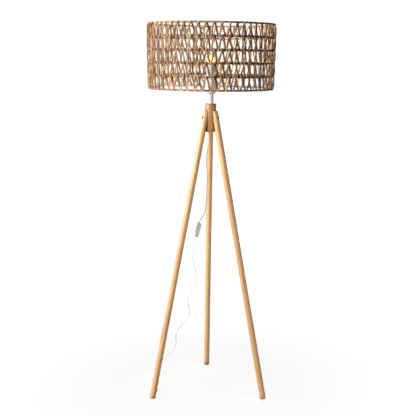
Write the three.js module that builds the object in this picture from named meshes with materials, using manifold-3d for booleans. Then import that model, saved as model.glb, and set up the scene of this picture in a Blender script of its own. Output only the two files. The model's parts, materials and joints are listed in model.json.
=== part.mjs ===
// Tripod floor lamp with a drum shade of natural cord wound in five rows round a wire frame.
// Millimetres, +Z up. The origin is on the floor, under the lamp's upright axis.
// +X is to the right and -Y is the side that the lamp is looked at from; one leg points to +Y.
import * as THREE from 'three';
import { mergeVertices } from 'three/addons/utils/BufferGeometryUtils.js';
import Module from 'manifold-3d';

const wasm = await Module();
wasm.setup();

// Clearances and cutting
const seat = 0.3; // gap between pieces that touch or slide
const overrun = 4; // how far a cutter runs past the face that it cuts

// Legs
const legCount = 3;
const legDiameter = 24;
const legTopHeight = 1144.7;
const legTopCircle = 18.7; // radius of the leg axes at the height of their tops
const footCircle = 257; // radius of the leg axes on the floor
const footRounding = 4;
const footLift = 0.4; // height of the square-cut end's centre over the floor
const firstLegShare = 0.25; // first leg's azimuth as a share of a full turn

// Leg bolts and the threaded inserts that they screw into
const boltDrop = 28; // from the leg's top, along the leg
const boltHeadDiameter = 10.5;
const boltHeadHeight = 3.4;
const boltShankDiameter = 6;
const boltSocketWidth = 4.6;
const boltSocketDepth = 2;
const boltFlatDepth = 1.5; // depth of the flat that the head sits on
const insertDiameter = 9;
const insertLength = 5.5;

// Hub
const hubDiameter = 44;
const hubHeight = 110;
const hubCollarHeight = 28;
const hubEdge = 1.2;

// Pole, threaded rod and its nuts
const poleDiameter = 22;
const poleWall = 1.5;
const poleLength = 38;
const rodDiameter = 10;
const rodBore = 5.2;
const nutWidth = 13;
const nutHeight = 5;

// Cord grip and the lead inside the rod
const gripTopDiameter = 11;
const gripNeckDiameter = 8.4;
const gripEndDiameter = 5.6;
const gripCollarHeight = 4;
const gripLength = 25;
const cordDiameter = 4;

// Lampholder
const capDiameter = 40;
const capHeight = 25;
const capWall = 2.2;
const capNeckDiameter = 17;
const holderDiameter = 39;
const holderHeight = 50;
const holderWall = 1.9;
const holderLip = 2;
const shoulderDiameter = 44;
const shoulderHeight = 3;
const carrierHeight = 17;
const sleeveBore = 27.4;
const sleeveWall = 0.6;
const sleeveHeight = 22;
const contactWidth = 5;
const contactSpan = 9;
const contactRise = 2.4;
const contactThickness = 0.6;
const terminalDiameter = 4;
const terminalLength = 6;
const terminalCircle = 11;
const shadeRingDiameter = 55;
const shadeRingHeight = 8;
const shadeRingFlange = 2.4;
const shadeRingCollar = 46;

// Bulb
const bulbDiameter = 60;
const bulbLength = 106;
const bulbDomeSkirt = 7.5; // opal part below the widest place
const bulbWall = 1.4;
const bulbCapDiameter = 26.4;
const bulbCapHeight = 24;
const bulbCapWall = 0.7;
const bulbInsulatorHeight = 4;
const bulbTipDiameter = 9;
const bulbTipHeight = 1.6;
const boardThickness = 1.6;

// Shade
const shadeHeight = 260;
const shadeTopDiameter = 505;
const shadeBottomDiameter = 496;
const rowCount = 5;
const turnCount = 54; // windings of the cord in one row
const ropeWidth = 6.5; // the cord lies flat round the hoops
const ropeThickness = 3.6;
const hoopWire = 6; // steel wire bound with paper
const stayWire = 3;
const armWire = 4;
const armDrop = 7; // how far the arms fall from the ring to the lowest hoop
const armCount = 3;
const firstArmShare = 1 / 12;
const spiderBore = 40.4;
const spiderEdge = 2.5; // how far the spider's ring stands out past the shade ring
const spiderThickness = 2;

// Switch on the cord
const switchLength = 58;
const switchWidth = 22;
const switchDepth = 17;
const switchCorner = 7;
const switchBevel = 1.6;
const rockerLength = 20;
const rockerWidth = 9;
const rockerThickness = 6;
const rockerRise = 1.2; // height of its low end over the housing's face
const rockerTilt = THREE.MathUtils.degToRad(8);
const rockerPin = 2;
const rockerPinLength = 13;
const rockerGap = 0.8;
const switchScrewDiameter = 2.6;
const switchScrewHead = 5;
const switchScrewHeadHeight = 1.6;
const switchScrewSpacing = 38;
const switchContactLength = 14;
const switchContactThickness = 0.8;
const switchPocketDepth = 3;

// Plug
const plugLength = 30;
const plugWidth = 24;
const plugDepth = 15;
const plugReliefLength = 22;
const plugReliefEnd = 6;
const plugReliefStart = 10;
const bladeWidth = 6.3;
const bladeThickness = 1.5;
const bladeLength = 17;
const bladeSpacing = 12.7;
const bladeRoot = 8;

// Hank of spare cord on the floor, and its tie
const hankLoops = 4;
const hankRun = 70;
const hankRadius = 12;
const hankWaist = 2.5; // half the distance between the two runs at the tie
const hankPitch = 4.5;
const hankCentre = [-218.6, -27];
const tieThickness = 0.8;
const tieWidth = 7;

// Route of the cord from the cord grip to the switch
const upperRoute = [
  [-4, 0, 1006],
  [-10, -1, 987],
  [-12.7, -1.5, 966],
  [-12.8, -3.5, 933],
  [-8.5, -6, 891],
  [-9.5, -8.5, 850],
  [-11.6, -11, 807],
  [-13.6, -13.5, 770],
  [-17.5, -16, 745],
  [-27, -18, 724],
];
// Where the switch hangs, and its direction downwards
const switchTop = [-41.3, -20, 699];
const switchBottom = [-56.2, -20, 642.9];
const switchFacing = THREE.MathUtils.degToRad(223);
// Route from the switch to the floor behind the front left leg
const lowerRoute = [
  [-62, -18, 620],
  [-67, -15, 595],
  [-69, -13, 570],
  [-66, -10, 546],
  [-60, -6, 516],
  [-52, -2, 491],
  [-48, 2, 468],
  [-51, 5, 449],
  [-63, 9, 423],
  [-77, 14, 395],
  [-84, 17, 372],
  [-84, 21, 350],
  [-79, 26, 328],
  [-77, 30, 308],
  [-86, 34, 287],
  [-102, 38, 265],
  [-121, 43, 237],
  [-132, 49, 213],
  [-134, 56, 190],
  [-133, 63, 167],
  [-138, 70, 145],
  [-151, 75, 125],
  [-170, 80, 109],
  [-185, 83, 92],
  [-197, 82, 72],
  [-204, 75, 50],
  [-207.5, 63, 28],
  [-207.8, 48, 11],
  [-207, 34, 4],
];
// Route from the hank's last turn down to the plug
const tailRoute = [
  [-230.2, 28, 19.5],
  [-228.5, 44, 15],
  [-225, 58, 10],
];
const plugStart = [-221.5, 78, 7.7];
const plugHeading = THREE.MathUtils.degToRad(86);

// Facets round one turn
const fine = 30;
const medium = 20;
const coarse = 16;
const small = 12;
const tiny = 8;
const six = 6;

// Worked-out heights, from the floor up
const hubTop = legTopHeight + seat + hubCollarHeight;
const hubBottom = hubTop - hubHeight;
const capBase = hubTop + poleLength;
const holderBase = capBase + capHeight + seat;
const spiderBase = holderBase + shoulderHeight + seat;
const armHeight = spiderBase + spiderThickness - armWire / 2; // the arms' axes, flush with the ring's top
const sleeveBase = holderBase + carrierHeight + seat;
const holderTop = holderBase + holderHeight;
const bulbTipBase = sleeveBase + contactRise + contactThickness;
const bulbCapBase = bulbTipBase + bulbTipHeight + bulbInsulatorHeight;
const bulbTop = bulbTipBase + bulbLength;
const boardTop = bulbTop - bulbDiameter / 2 - bulbDomeSkirt;
const nutTop = hubBottom - seat;
const gripTop = nutTop - nutHeight - seat;
const gripEnd = gripTop - gripLength;

const legLean = Math.atan((footCircle - legTopCircle) / legTopHeight);
const fullTurn = 2 * Math.PI;

const finishes = {
  wood: { color: 0xd9a56b, roughness: 0.55, metalness: 0 },
  darkSteel: { color: 0x3b3835, roughness: 0.45, metalness: 0.85 },
  zinc: { color: 0xb9bab8, roughness: 0.4, metalness: 0.9 },
  brass: { color: 0xc9a55a, roughness: 0.35, metalness: 0.9 },
  whiteMetal: { color: 0xeeedea, roughness: 0.4, metalness: 0.1 },
  whitePlastic: { color: 0xf1f0ec, roughness: 0.45, metalness: 0 },
  ceramic: { color: 0xe4e0d6, roughness: 0.5, metalness: 0 },
  opal: { color: 0xffe2b0, roughness: 0.35, metalness: 0 },
  blackGlass: { color: 0x1c1b1a, roughness: 0.25, metalness: 0 },
  brownWire: { color: 0x5a4230, roughness: 0.6, metalness: 0.3 },
  rope: { color: 0xb38a5a, roughness: 0.9, metalness: 0 },
  cord: { color: 0xececea, roughness: 0.5, metalness: 0 },
};

// Turns a geometry into one whose vertices are shared and whose faces point out.
function closed(geometry) {
  const bare = new THREE.BufferGeometry();
  bare.setAttribute('position', geometry.getAttribute('position').clone());
  if (geometry.index) bare.setIndex(geometry.index.clone());
  const merged = mergeVertices(bare, 1e-4);
  const position = merged.getAttribute('position');
  const index = Array.from(merged.index.array);
  const kept = [];
  let volume = 0;
  const [a, b, c] = [new THREE.Vector3(), new THREE.Vector3(), new THREE.Vector3()];
  for (let i = 0; i < index.length; i += 3) {
    const [p, q, r] = [index[i], index[i + 1], index[i + 2]];
    if (p === q || q === r || r === p) continue;
    kept.push(p, q, r);
    a.fromBufferAttribute(position, p);
    b.fromBufferAttribute(position, q);
    c.fromBufferAttribute(position, r);
    volume += a.dot(b.cross(c));
  }
  if (volume < 0) kept.reverse();
  merged.setIndex(kept);
  return merged;
}

function toSolid(geometry) {
  const shared = closed(geometry);
  const vertProperties = Float32Array.from(shared.getAttribute('position').array);
  const triVerts = Uint32Array.from(shared.index.array);
  return new wasm.Manifold(new wasm.Mesh({ numProp: 3, vertProperties, triVerts }));
}

function toGeometry(solid) {
  const mesh = solid.getMesh();
  const geometry = new THREE.BufferGeometry();
  const positions = new Float32Array((mesh.vertProperties.length / mesh.numProp) * 3);
  for (let i = 0; i < positions.length / 3; i += 1) {
    for (let axis = 0; axis < 3; axis += 1) {
      positions[3 * i + axis] = mesh.vertProperties[i * mesh.numProp + axis];
    }
  }
  geometry.setAttribute('position', new THREE.BufferAttribute(positions, 3));
  geometry.setIndex(Array.from(mesh.triVerts));
  return geometry;
}

function cut(body, ...tools) {
  return toGeometry(tools.reduce((solid, tool) => solid.subtract(toSolid(tool)), toSolid(body)));
}

function join(body, ...others) {
  return toGeometry(others.reduce((solid, other) => solid.add(toSolid(other)), toSolid(body)));
}

function common(body, other) {
  return toGeometry(toSolid(body).intersect(toSolid(other)));
}

// A shape turned round the Z axis. The profile is a list of [radius, height] pairs.
function turned(profile, facets) {
  const points = profile.map(([radius, height]) => new THREE.Vector2(radius, height));
  const geometry = new THREE.LatheGeometry(points, facets);
  geometry.rotateX(Math.PI / 2);
  return closed(geometry);
}

// A ring or tube turned round the Z axis: its profile closes on itself.
function turnedRing(profile, facets) {
  return turned([...profile, profile[0]], facets);
}

function tube(outer, inner, low, high, facets) {
  return turnedRing([[inner, low], [outer, low], [outer, high], [inner, high]], facets);
}

function rod(radius, low, high, facets) {
  return turned([[0, low], [radius, low], [radius, high], [0, high]], facets);
}

function arc(centre, radius, from, to, steps) {
  return Array.from({ length: steps + 1 }, (_, i) => {
    const angle = from + ((to - from) * i) / steps;
    return [centre[0] + radius * Math.cos(angle), centre[1] + radius * Math.sin(angle)];
  });
}

function block(width, depth, height, x, y, z) {
  return new THREE.BoxGeometry(width, depth, height).translate(x, y, z);
}

// A solid through a row of rings with the same number of points, closed at both ends or joined up.
function throughRings(rings, loop) {
  const sides = rings[0].length;
  const positions = rings.flat(2);
  const index = [];
  const last = loop ? rings.length : rings.length - 1;
  for (let i = 0; i < last; i += 1) {
    const next = (i + 1) % rings.length;
    for (let j = 0; j < sides; j += 1) {
      const k = (j + 1) % sides;
      const [a, b, c, d] = [i * sides + j, i * sides + k, next * sides + k, next * sides + j];
      index.push(a, b, c, a, c, d);
    }
  }
  if (!loop) {
    const end = (rings.length - 1) * sides;
    for (let j = 1; j < sides - 1; j += 1) {
      index.push(0, j + 1, j);
      index.push(end, end + j, end + j + 1);
    }
  }
  const geometry = new THREE.BufferGeometry();
  geometry.setAttribute('position', new THREE.Float32BufferAttribute(positions, 3));
  geometry.setIndex(index);
  return closed(geometry);
}

// A round cord along a smooth curve.
function cordAlong(curve, diameter, steps) {
  const section = new THREE.Shape();
  const sides = 8;
  for (let i = 0; i < sides; i += 1) {
    const angle = (fullTurn * i) / sides;
    const [x, y] = [(diameter / 2) * Math.cos(angle), (diameter / 2) * Math.sin(angle)];
    if (i === 0) section.moveTo(x, y);
    else section.lineTo(x, y);
  }
  section.closePath();
  const options = { steps, bevelEnabled: false, extrudePath: curve };
  return closed(new THREE.ExtrudeGeometry(section, options));
}

function smooth(points) {
  const vectors = points.map((point) => new THREE.Vector3(...point));
  return new THREE.CatmullRomCurve3(vectors, false, 'centripetal');
}

// Rounded bar: rings of a squarish oval at stations [height, half width, half depth].
function rounded(stations, facets) {
  const softness = 0.6;
  const swell = (value) => Math.sign(value) * Math.abs(value) ** softness;
  const rings = stations.map(([height, halfWidth, halfDepth]) =>
    Array.from({ length: facets }, (_, i) => {
      const angle = (fullTurn * (i + 0.5)) / facets;
      return [halfWidth * swell(Math.cos(angle)), halfDepth * swell(Math.sin(angle)), height];
    }),
  );
  return throughRings(rings, false);
}

function azimuthOf(leg) {
  return fullTurn * (firstLegShare + leg / legCount);
}

// Moves a shape from the leg's own frame, Z along the leg and X outwards, to its upright plane.
function leaned(geometry, height) {
  const radius = footCircle - height * Math.tan(legLean);
  return geometry.rotateY(-legLean).translate(radius, 0, height);
}

function boltHeight() {
  return legTopHeight - boltDrop * Math.cos(legLean);
}

// A cylinder along the bolt's line, from one distance from the leg's axis to another.
function boltBore(diameter, from, to) {
  return rod(diameter / 2, from, to, small).rotateY(Math.PI / 2);
}

function legBlank(diameter, rounding) {
  const radius = diameter / 2;
  const length = (legTopHeight + diameter) / Math.cos(legLean);
  const profile = [
    [0, 0],
    ...arc([radius - rounding, rounding], rounding, -Math.PI / 2, 0, 2),
    [radius, length],
    [0, length],
  ];
  return turned(profile, coarse);
}

function levelSlab(bottom, top) {
  const span = 3 * footCircle;
  return block(span, span, top - bottom, 0, 0, (top + bottom) / 2);
}

function legGeometry() {
  const radius = legDiameter / 2;
  const blank = leaned(legBlank(legDiameter, footRounding), footLift);
  const bore = boltBore(boltShankDiameter + 2 * seat, -radius - overrun, radius + overrun);
  const flat = boltBore(boltHeadDiameter + 2 * seat, radius - boltFlatDepth, radius + overrun);
  const level = common(blank, levelSlab(0, legTopHeight));
  return cut(level, leaned(bore, boltHeight()), leaned(flat, boltHeight()));
}

// The bolt lies along X with its head outwards. X = 0 is on the leg's axis.
function boltGeometry() {
  const headBase = legDiameter / 2 - boltFlatDepth + seat;
  const headTop = headBase + boltHeadHeight;
  const radius = boltHeadDiameter / 2;
  const end = -legDiameter / 2 - seat - insertLength + seat;
  const crown = arc([0, headTop - radius], radius, Math.PI / 3.4, Math.PI / 2, 2);
  const profile = [
    [0, end],
    [boltShankDiameter / 2, end],
    [boltShankDiameter / 2, headBase],
    [radius, headBase],
    [radius, headBase + boltHeadHeight / 3],
    ...crown.slice(0, -1),
    [0, headTop],
  ];
  const socket = rod(boltSocketWidth / Math.sqrt(3), headTop - boltSocketDepth, headTop + overrun, six);
  return cut(turned(profile, small), socket).rotateY(Math.PI / 2);
}

function insertGeometry() {
  const start = -legDiameter / 2 - 2 * seat;
  const outer = insertDiameter / 2;
  const bore = boltShankDiameter / 2 + seat;
  return tube(outer, bore, start - insertLength, start, tiny).rotateY(Math.PI / 2);
}

function hubGeometry() {
  const outer = hubDiameter / 2;
  const bore = rodDiameter / 2 + seat;
  const body = turnedRing(
    [
      [bore, hubBottom],
      [outer - hubEdge, hubBottom],
      [outer, hubBottom + hubEdge],
      [outer, hubTop - hubEdge],
      [outer - hubEdge, hubTop],
      [bore, hubTop],
    ],
    fine,
  );
  const below = levelSlab(hubBottom - hubDiameter, hubTop - hubCollarHeight);
  const groove = common(leaned(legBlank(legDiameter + 2 * seat, footRounding), footLift), below);
  const pocketEnd = -legDiameter / 2 - insertLength - 3 * seat;
  const pocket = leaned(boltBore(insertDiameter + 2 * seat, pocketEnd, 0), boltHeight());
  const tools = [];
  for (let leg = 0; leg < legCount; leg += 1) {
    tools.push(groove.clone().rotateZ(azimuthOf(leg)));
    tools.push(pocket.clone().rotateZ(azimuthOf(leg)));
  }
  return cut(body, ...tools);
}

function poleGeometry() {
  const outer = poleDiameter / 2;
  return tube(outer, outer - poleWall, hubTop + seat, capBase - seat, medium);
}

function rodGeometry() {
  const top = capBase + capWall + seat + nutHeight;
  return tube(rodDiameter / 2, rodBore / 2, nutTop - nutHeight, top, small);
}

function nutGeometry(low) {
  const hexagon = rod(nutWidth / Math.sqrt(3), low, low + nutHeight, six);
  const bore = rod(rodDiameter / 2 + seat, low - overrun, low + nutHeight + overrun, small);
  return cut(hexagon, bore);
}

function gripGeometry() {
  return turned(
    [
      [0, gripEnd],
      [gripEndDiameter / 2, gripEnd],
      [gripNeckDiameter / 2, gripTop - gripCollarHeight],
      [gripTopDiameter / 2, gripTop - gripCollarHeight],
      [gripTopDiameter / 2, gripTop],
      [0, gripTop],
    ],
    small,
  );
}

function capGeometry() {
  const outer = capDiameter / 2;
  const neck = capNeckDiameter / 2;
  const bore = rodDiameter / 2 + seat;
  const rise = outer - neck;
  const top = capBase + capHeight;
  const outside = arc([neck, capBase + rise], rise, -Math.PI / 2, 0, 3);
  const inside = arc([neck, capBase + rise], rise - capWall, 0, -Math.PI / 2, 3);
  const rim = [[outer, top], [outer - capWall, top]];
  return turnedRing([[bore, capBase], ...outside, ...rim, ...inside, [bore, capBase + capWall]], medium);
}

function holderBodyGeometry() {
  const outer = holderDiameter / 2;
  const inner = outer - holderWall;
  const mouth = sleeveBore / 2 + sleeveWall + seat;
  return turnedRing(
    [
      [inner, holderBase],
      [shoulderDiameter / 2, holderBase],
      [shoulderDiameter / 2, holderBase + shoulderHeight],
      [outer, holderBase + shoulderHeight],
      [outer, holderTop],
      [mouth, holderTop],
      [mouth, holderTop - holderLip],
      [inner, holderTop - holderLip],
    ],
    medium,
  );
}

function carrierGeometry() {
  const radius = holderDiameter / 2 - holderWall - seat;
  const disc = rod(radius, holderBase + seat, holderBase + carrierHeight, coarse);
  return cut(disc, terminalBore(1), terminalBore(-1));
}

function terminalBore(side) {
  const top = holderBase + carrierHeight;
  return rod(terminalDiameter / 2 + seat, top - terminalLength - 2 * seat, top + overrun, tiny)
    .translate(side * terminalCircle, 0, 0);
}

function terminalGeometry(side) {
  const top = holderBase + carrierHeight - seat;
  return rod(terminalDiameter / 2, top - terminalLength, top, tiny).translate(side * terminalCircle, 0, 0);
}

function sleeveGeometry() {
  const inner = sleeveBore / 2;
  return tube(inner + sleeveWall, inner, sleeveBase, sleeveBase + sleeveHeight, medium);
}

// Leaf spring under the bulb's tip: a foot on the carrier, a slope and a raised pad.
function contactGeometry() {
  const half = contactSpan / 2;
  const t = contactThickness;
  const outline = new THREE.Shape();
  outline.moveTo(-half, 0);
  outline.lineTo(-half / 3, 0);
  outline.lineTo(0, contactRise - t);
  outline.lineTo(half, contactRise - t);
  outline.lineTo(half, contactRise);
  outline.lineTo(-t, contactRise);
  outline.lineTo(-half / 3 - t / 2, t);
  outline.lineTo(-half, t);
  outline.closePath();
  const leaf = new THREE.ExtrudeGeometry(outline, { depth: contactWidth, bevelEnabled: false });
  return closed(leaf.translate(0, 0, -contactWidth / 2).rotateX(Math.PI / 2).translate(0, 0, sleeveBase));
}

function shadeRingGeometry() {
  const base = spiderBase + spiderThickness + seat;
  const inner = holderDiameter / 2 + seat;
  return turnedRing(
    [
      [inner, base],
      [shadeRingDiameter / 2, base],
      [shadeRingDiameter / 2, base + shadeRingFlange],
      [shadeRingCollar / 2, base + shadeRingFlange],
      [shadeRingCollar / 2, base + shadeRingHeight],
      [inner, base + shadeRingHeight],
    ],
    medium,
  );
}

function bulbDomeGeometry() {
  const radius = bulbDiameter / 2;
  const centre = [0, bulbTop - radius];
  const base = boardTop + seat;
  const low = [radius - bulbWall / 2, base];
  const steps = 5;
  const outside = arc(centre, radius, 0, Math.PI / 2, steps);
  const inside = arc(centre, radius - bulbWall, Math.PI / 2, 0, steps);
  outside[steps][0] = 0;
  inside[0][0] = 0;
  return turned([...outside.reverse(), low, [low[0] - bulbWall, base], ...inside.reverse()], medium);
}

function boardGeometry() {
  const radius = bulbDiameter / 2 - bulbWall / 2 - 2 * bulbWall - seat;
  return rod(radius, boardTop - boardThickness, boardTop, medium);
}

// White housing: it carries the board in a shallow seat and narrows to a neck inside the screw cap.
function bulbHousingGeometry() {
  const wide = bulbDiameter / 2 - bulbWall / 2;
  const collar = bulbCapDiameter / 2;
  const neck = collar - bulbCapWall - seat;
  const neckTop = bulbCapBase + bulbCapHeight + seat;
  const neckEnd = bulbCapBase + bulbCapHeight / 2;
  const ledge = boardTop - boardThickness - seat;
  const rim = wide - 2 * bulbWall;
  const swellShares = [0, 0.48, 0.8, 1];
  const outside = swellShares.map((share, i) => [
    collar + (wide - collar) * share,
    neckTop + ((boardTop - neckTop) * i) / (swellShares.length - 1),
  ]);
  return turned(
    [[0, neckEnd], [neck, neckEnd], [neck, neckTop], ...outside, [rim, boardTop], [rim, ledge], [0, ledge]],
    medium,
  );
}

function bulbCapGeometry() {
  const outer = bulbCapDiameter / 2;
  const top = bulbCapBase + bulbCapHeight;
  const inner = outer - bulbCapWall;
  const mouth = bulbTipDiameter / 2 + seat + bulbCapWall;
  const taper = bulbInsulatorHeight / 2;
  return turnedRing(
    [
      [mouth, bulbCapBase],
      [outer - taper, bulbCapBase],
      [outer, bulbCapBase + taper],
      [outer, top],
      [inner, top],
      [inner, bulbCapBase + taper + bulbCapWall],
      [mouth, bulbCapBase + bulbCapWall],
    ],
    medium,
  );
}

function bulbInsulatorGeometry() {
  const low = bulbTipBase + bulbTipHeight + seat;
  const high = bulbCapBase - seat;
  const bottom = bulbTipDiameter / 2 + seat;
  return turned([[0, low], [bottom, low], [bulbCapDiameter / 3, high], [0, high]], coarse);
}

function bulbTipGeometry() {
  const radius = bulbTipDiameter / 2;
  const low = bulbTipBase + seat;
  const high = bulbTipBase + bulbTipHeight;
  return turned([[0, low], [radius / 2, low], [radius, high], [0, high]], small);
}

// Radius of the hoops' centre line and height of hoop 0, the lowest, to rowCount, the top one.
const hoopFlat = (hoopWire / 4) * Math.sqrt(Math.PI); // half side of a square of the wire's area
const hoopSag = (shadeTopDiameter / 4) * (1 - Math.cos(Math.PI / turnCount));
const cornerShare = Math.sqrt(Math.PI / Math.sqrt(27)); // a triangle's centre to corner, of equal area
const ropeRidge = ropeThickness * cornerShare;
const ropeSpread = ropeWidth * cornerShare;
const ropeOffset = hoopFlat + hoopSag + seat + ropeRidge / 2;
const ropeReach = ropeOffset + ropeRidge;

function hoopHeight(hoop) {
  return armHeight - armDrop + ((shadeHeight - 2 * ropeReach) * hoop) / rowCount;
}

function hoopRadius(hoop) {
  const [low, high] = [shadeBottomDiameter / 2, shadeTopDiameter / 2];
  return low + ((high - low) * hoop) / rowCount - ropeReach;
}

const turnAngle = fullTurn / turnCount;
const armAngle = fullTurn * firstArmShare;
const windingStart = armAngle - turnAngle / 4;

// One hoop: a wire ring whose corners lie midway between the cord's windings.
function hoopGeometry(hoop) {
  const corners = [[1, 1], [-1, 1], [-1, -1], [1, -1]];
  const rings = Array.from({ length: turnCount }, (_, i) => {
    const angle = armAngle + turnAngle * i;
    return corners.map(([away, up]) => {
      const reach = hoopRadius(hoop) + hoopSag + away * hoopFlat;
      return [reach * Math.cos(angle), reach * Math.sin(angle), hoopHeight(hoop) + up * hoopFlat];
    });
  });
  return throughRings(rings, true);
}

// The cord's section, a triangle with its ridge away from the hoops, at one corner of its path.
// outSide is 1 outside the hoops and -1 inside them, upSide is 1 above a hoop and -1 below it.
function windingCorner(angle, hoop, outSide, upSide) {
  const section = [0, 1, 2].map((corner) => (fullTurn * corner) / 3);
  return section.map((around) => {
    const away = ropeOffset + ropeRidge * Math.cos(around);
    const aside = ropeSpread * Math.sin(around);
    const reach = hoopRadius(hoop) + outSide * away;
    return [
      reach * Math.cos(angle) - aside * Math.sin(angle),
      reach * Math.sin(angle) + aside * Math.cos(angle),
      hoopHeight(hoop) + upSide * away,
    ];
  });
}

// One row of the shade: one endless cord, wound round the hoop below it and the hoop above it.
// It leans one way outside the hoops and back the other way inside them.
function rowGeometry(row) {
  const rings = [];
  for (let turn = 0; turn < turnCount; turn += 1) {
    const angle = windingStart + turn * turnAngle;
    const middle = angle + turnAngle / 2;
    rings.push(windingCorner(angle, row, 1, -1));
    rings.push(windingCorner(middle, row + 1, 1, 1));
    rings.push(windingCorner(middle, row + 1, -1, 1));
    rings.push(windingCorner(angle + turnAngle, row, -1, -1));
  }
  return throughRings(rings, true);
}

// A wire from the lowest hoop to the top one, standing on an arm, just inside the hoops.
function stayGeometry() {
  const inset = hoopFlat - hoopSag + seat + stayWire / 2;
  const bottom = new THREE.Vector3(hoopRadius(0) - inset, 0, hoopHeight(0) + armWire / 2 + seat);
  const top = new THREE.Vector3(hoopRadius(rowCount) - inset, 0, hoopHeight(rowCount) + hoopFlat);
  const length = top.distanceTo(bottom);
  const lean = Math.atan2(top.x - bottom.x, top.z - bottom.z);
  return rod(stayWire / 2, 0, length, six).rotateY(lean).translate(bottom.x, 0, bottom.z);
}

function spiderGeometry() {
  const start = shadeRingDiameter / 2 + seat;
  const ring = tube(start + spiderEdge, spiderBore / 2, spiderBase, spiderBase + spiderThickness, medium);
  const end = hoopRadius(0) + hoopSag - hoopFlat - seat;
  const slope = Math.atan(armDrop / (end - start));
  const arms = Array.from({ length: armCount }, (_, i) => {
    const arm = rod(armWire / 2, 0, (end - start) / Math.cos(slope), six).rotateY(Math.PI / 2 + slope);
    return arm.translate(start, 0, armHeight).rotateZ(armAngle + (fullTurn * i) / armCount);
  });
  return join(ring, ...arms);
}

// The switch's own frame: Z up along the cord, Y out of its face, origin at its middle.
function switchFrame() {
  const [top, bottom] = [new THREE.Vector3(...switchTop), new THREE.Vector3(...switchBottom)];
  const up = top.clone().sub(bottom).normalize();
  const facing = new THREE.Vector3(Math.cos(switchFacing), Math.sin(switchFacing), 0);
  const outward = facing.sub(up.clone().multiplyScalar(facing.dot(up))).normalize();
  const across = outward.clone().cross(up);
  const group = new THREE.Group();
  group.quaternion.setFromRotationMatrix(new THREE.Matrix4().makeBasis(across, outward, up));
  group.position.copy(top.add(bottom).multiplyScalar(0.5));
  return group;
}

// Half of the switch housing, from the split to the outer face, towards +Y.
function switchHalf() {
  const shape = new THREE.Shape();
  const w = switchWidth / 2 - switchBevel;
  const l = switchLength / 2 - switchBevel;
  const c = switchCorner - switchBevel;
  shape.moveTo(-w + c, -l);
  shape.lineTo(w - c, -l);
  shape.absarc(w - c, -l + c, c, -Math.PI / 2, 0, false);
  shape.absarc(w - c, l - c, c, 0, Math.PI / 2, false);
  shape.absarc(-w + c, l - c, c, Math.PI / 2, Math.PI, false);
  shape.absarc(-w + c, -l + c, c, Math.PI, Math.PI * 1.5, false);
  const half = switchDepth / 2 - seat / 2;
  const options = {
    depth: half,
    curveSegments: 2,
    bevelThickness: switchBevel,
    bevelSize: switchBevel,
    bevelSegments: 1,
  };
  const body = closed(new THREE.ExtrudeGeometry(shape, options));
  body.translate(0, 0, -switchBevel);
  const span = switchLength + switchWidth;
  const kept = common(body, block(span, span, half, 0, 0, half / 2));
  return kept.rotateX(-Math.PI / 2).translate(0, seat / 2, 0);
}

function screwHole(diameter, from, to, height) {
  return rod(diameter / 2, from, to, six).rotateX(-Math.PI / 2).translate(0, 0, height);
}

function switchFaceGeometry() {
  const face = switchDepth / 2;
  const window = block(rockerWidth + 2 * rockerGap, 2 * face, rockerLength + 2 * rockerGap, 0, face, 0);
  const pivot = rod(rockerPin / 2 + seat, -rockerPinLength / 2 - seat, rockerPinLength / 2 + seat, tiny)
    .rotateY(Math.PI / 2)
    .translate(0, rockerPivot(), 0);
  const holes = [-1, 1].map((side) =>
    screwHole(switchScrewDiameter + 2 * seat, 0, face / 2 + seat, (side * switchScrewSpacing) / 2),
  );
  return cut(switchHalf(), window, pivot, ...holes);
}

function switchBackGeometry() {
  const face = switchDepth / 2;
  const back = switchHalf().rotateZ(Math.PI);
  const tools = [-1, 1].flatMap((side) => {
    const height = (side * switchScrewSpacing) / 2;
    const head = switchScrewHead + 2 * seat;
    return [
      screwHole(switchScrewDiameter + 2 * seat, -face - overrun, overrun, height),
      screwHole(head, -face - overrun, -face + switchScrewHeadHeight + seat, height),
    ];
  });
  const pocket = block(rockerWidth, 2 * switchPocketDepth, rockerLength, 0, 0, 0);
  return cut(back, ...tools, pocket);
}

// A screw from the back of the switch, its head just under the back face.
function switchScrewGeometry(side) {
  const face = switchDepth / 2;
  const headBase = -face + switchScrewHeadHeight;
  const profile = [
    [0, -face],
    [switchScrewHead / 2, -face],
    [switchScrewHead / 2, headBase],
    [switchScrewDiameter / 2, headBase],
    [switchScrewDiameter / 2, face / 2],
    [0, face / 2],
  ];
  return turned(profile, six).rotateX(-Math.PI / 2).translate(0, 0, (side * switchScrewSpacing) / 2);
}

function switchContactGeometry() {
  const bottom = -switchPocketDepth + seat;
  const middle = bottom + switchContactThickness / 2;
  return block(rockerWidth / 2, switchContactThickness, switchContactLength, 0, middle, 0);
}

function rockerPivot() {
  return switchDepth / 2 - rockerThickness / 2;
}

// Rocker seen from its side: two faces that meet at a shallow angle, over a round belly.
// Origin on its pin. It is drawn tilted, with its lower end pressed in.
function rockerGeometry() {
  const half = rockerLength / 2;
  const top = rockerThickness / 2 + rockerRise;
  const outline = new THREE.Shape();
  outline.moveTo(-half, top);
  outline.lineTo(-half, -rockerPin / 2);
  outline.lineTo(-half / 2, -rockerThickness / 2);
  outline.lineTo(half / 2, -rockerThickness / 2);
  outline.lineTo(half, -rockerPin / 2);
  outline.lineTo(half, top);
  outline.lineTo(0, top - half * Math.tan(rockerTilt));
  outline.closePath();
  const body = closed(new THREE.ExtrudeGeometry(outline, { depth: rockerWidth, bevelEnabled: false }));
  const pin = rod(rockerPin / 2, -rockerPinLength / 2, rockerPinLength / 2, tiny);
  const whole = join(body.translate(0, 0, -rockerWidth / 2), pin);
  // the outline's x turns to run along the cord, and its y still points out of the face
  return whole.rotateY(-Math.PI / 2);
}

// The hank's path in steps: a loop is a run to the front, a turn, a run back that climbs, a turn.
const runSteps = 7;
const bendSteps = 5;
const loopSteps = 2 * (runSteps + bendSteps);
const hankBase = tieThickness + 2 * seat + cordDiameter / 2;

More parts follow.
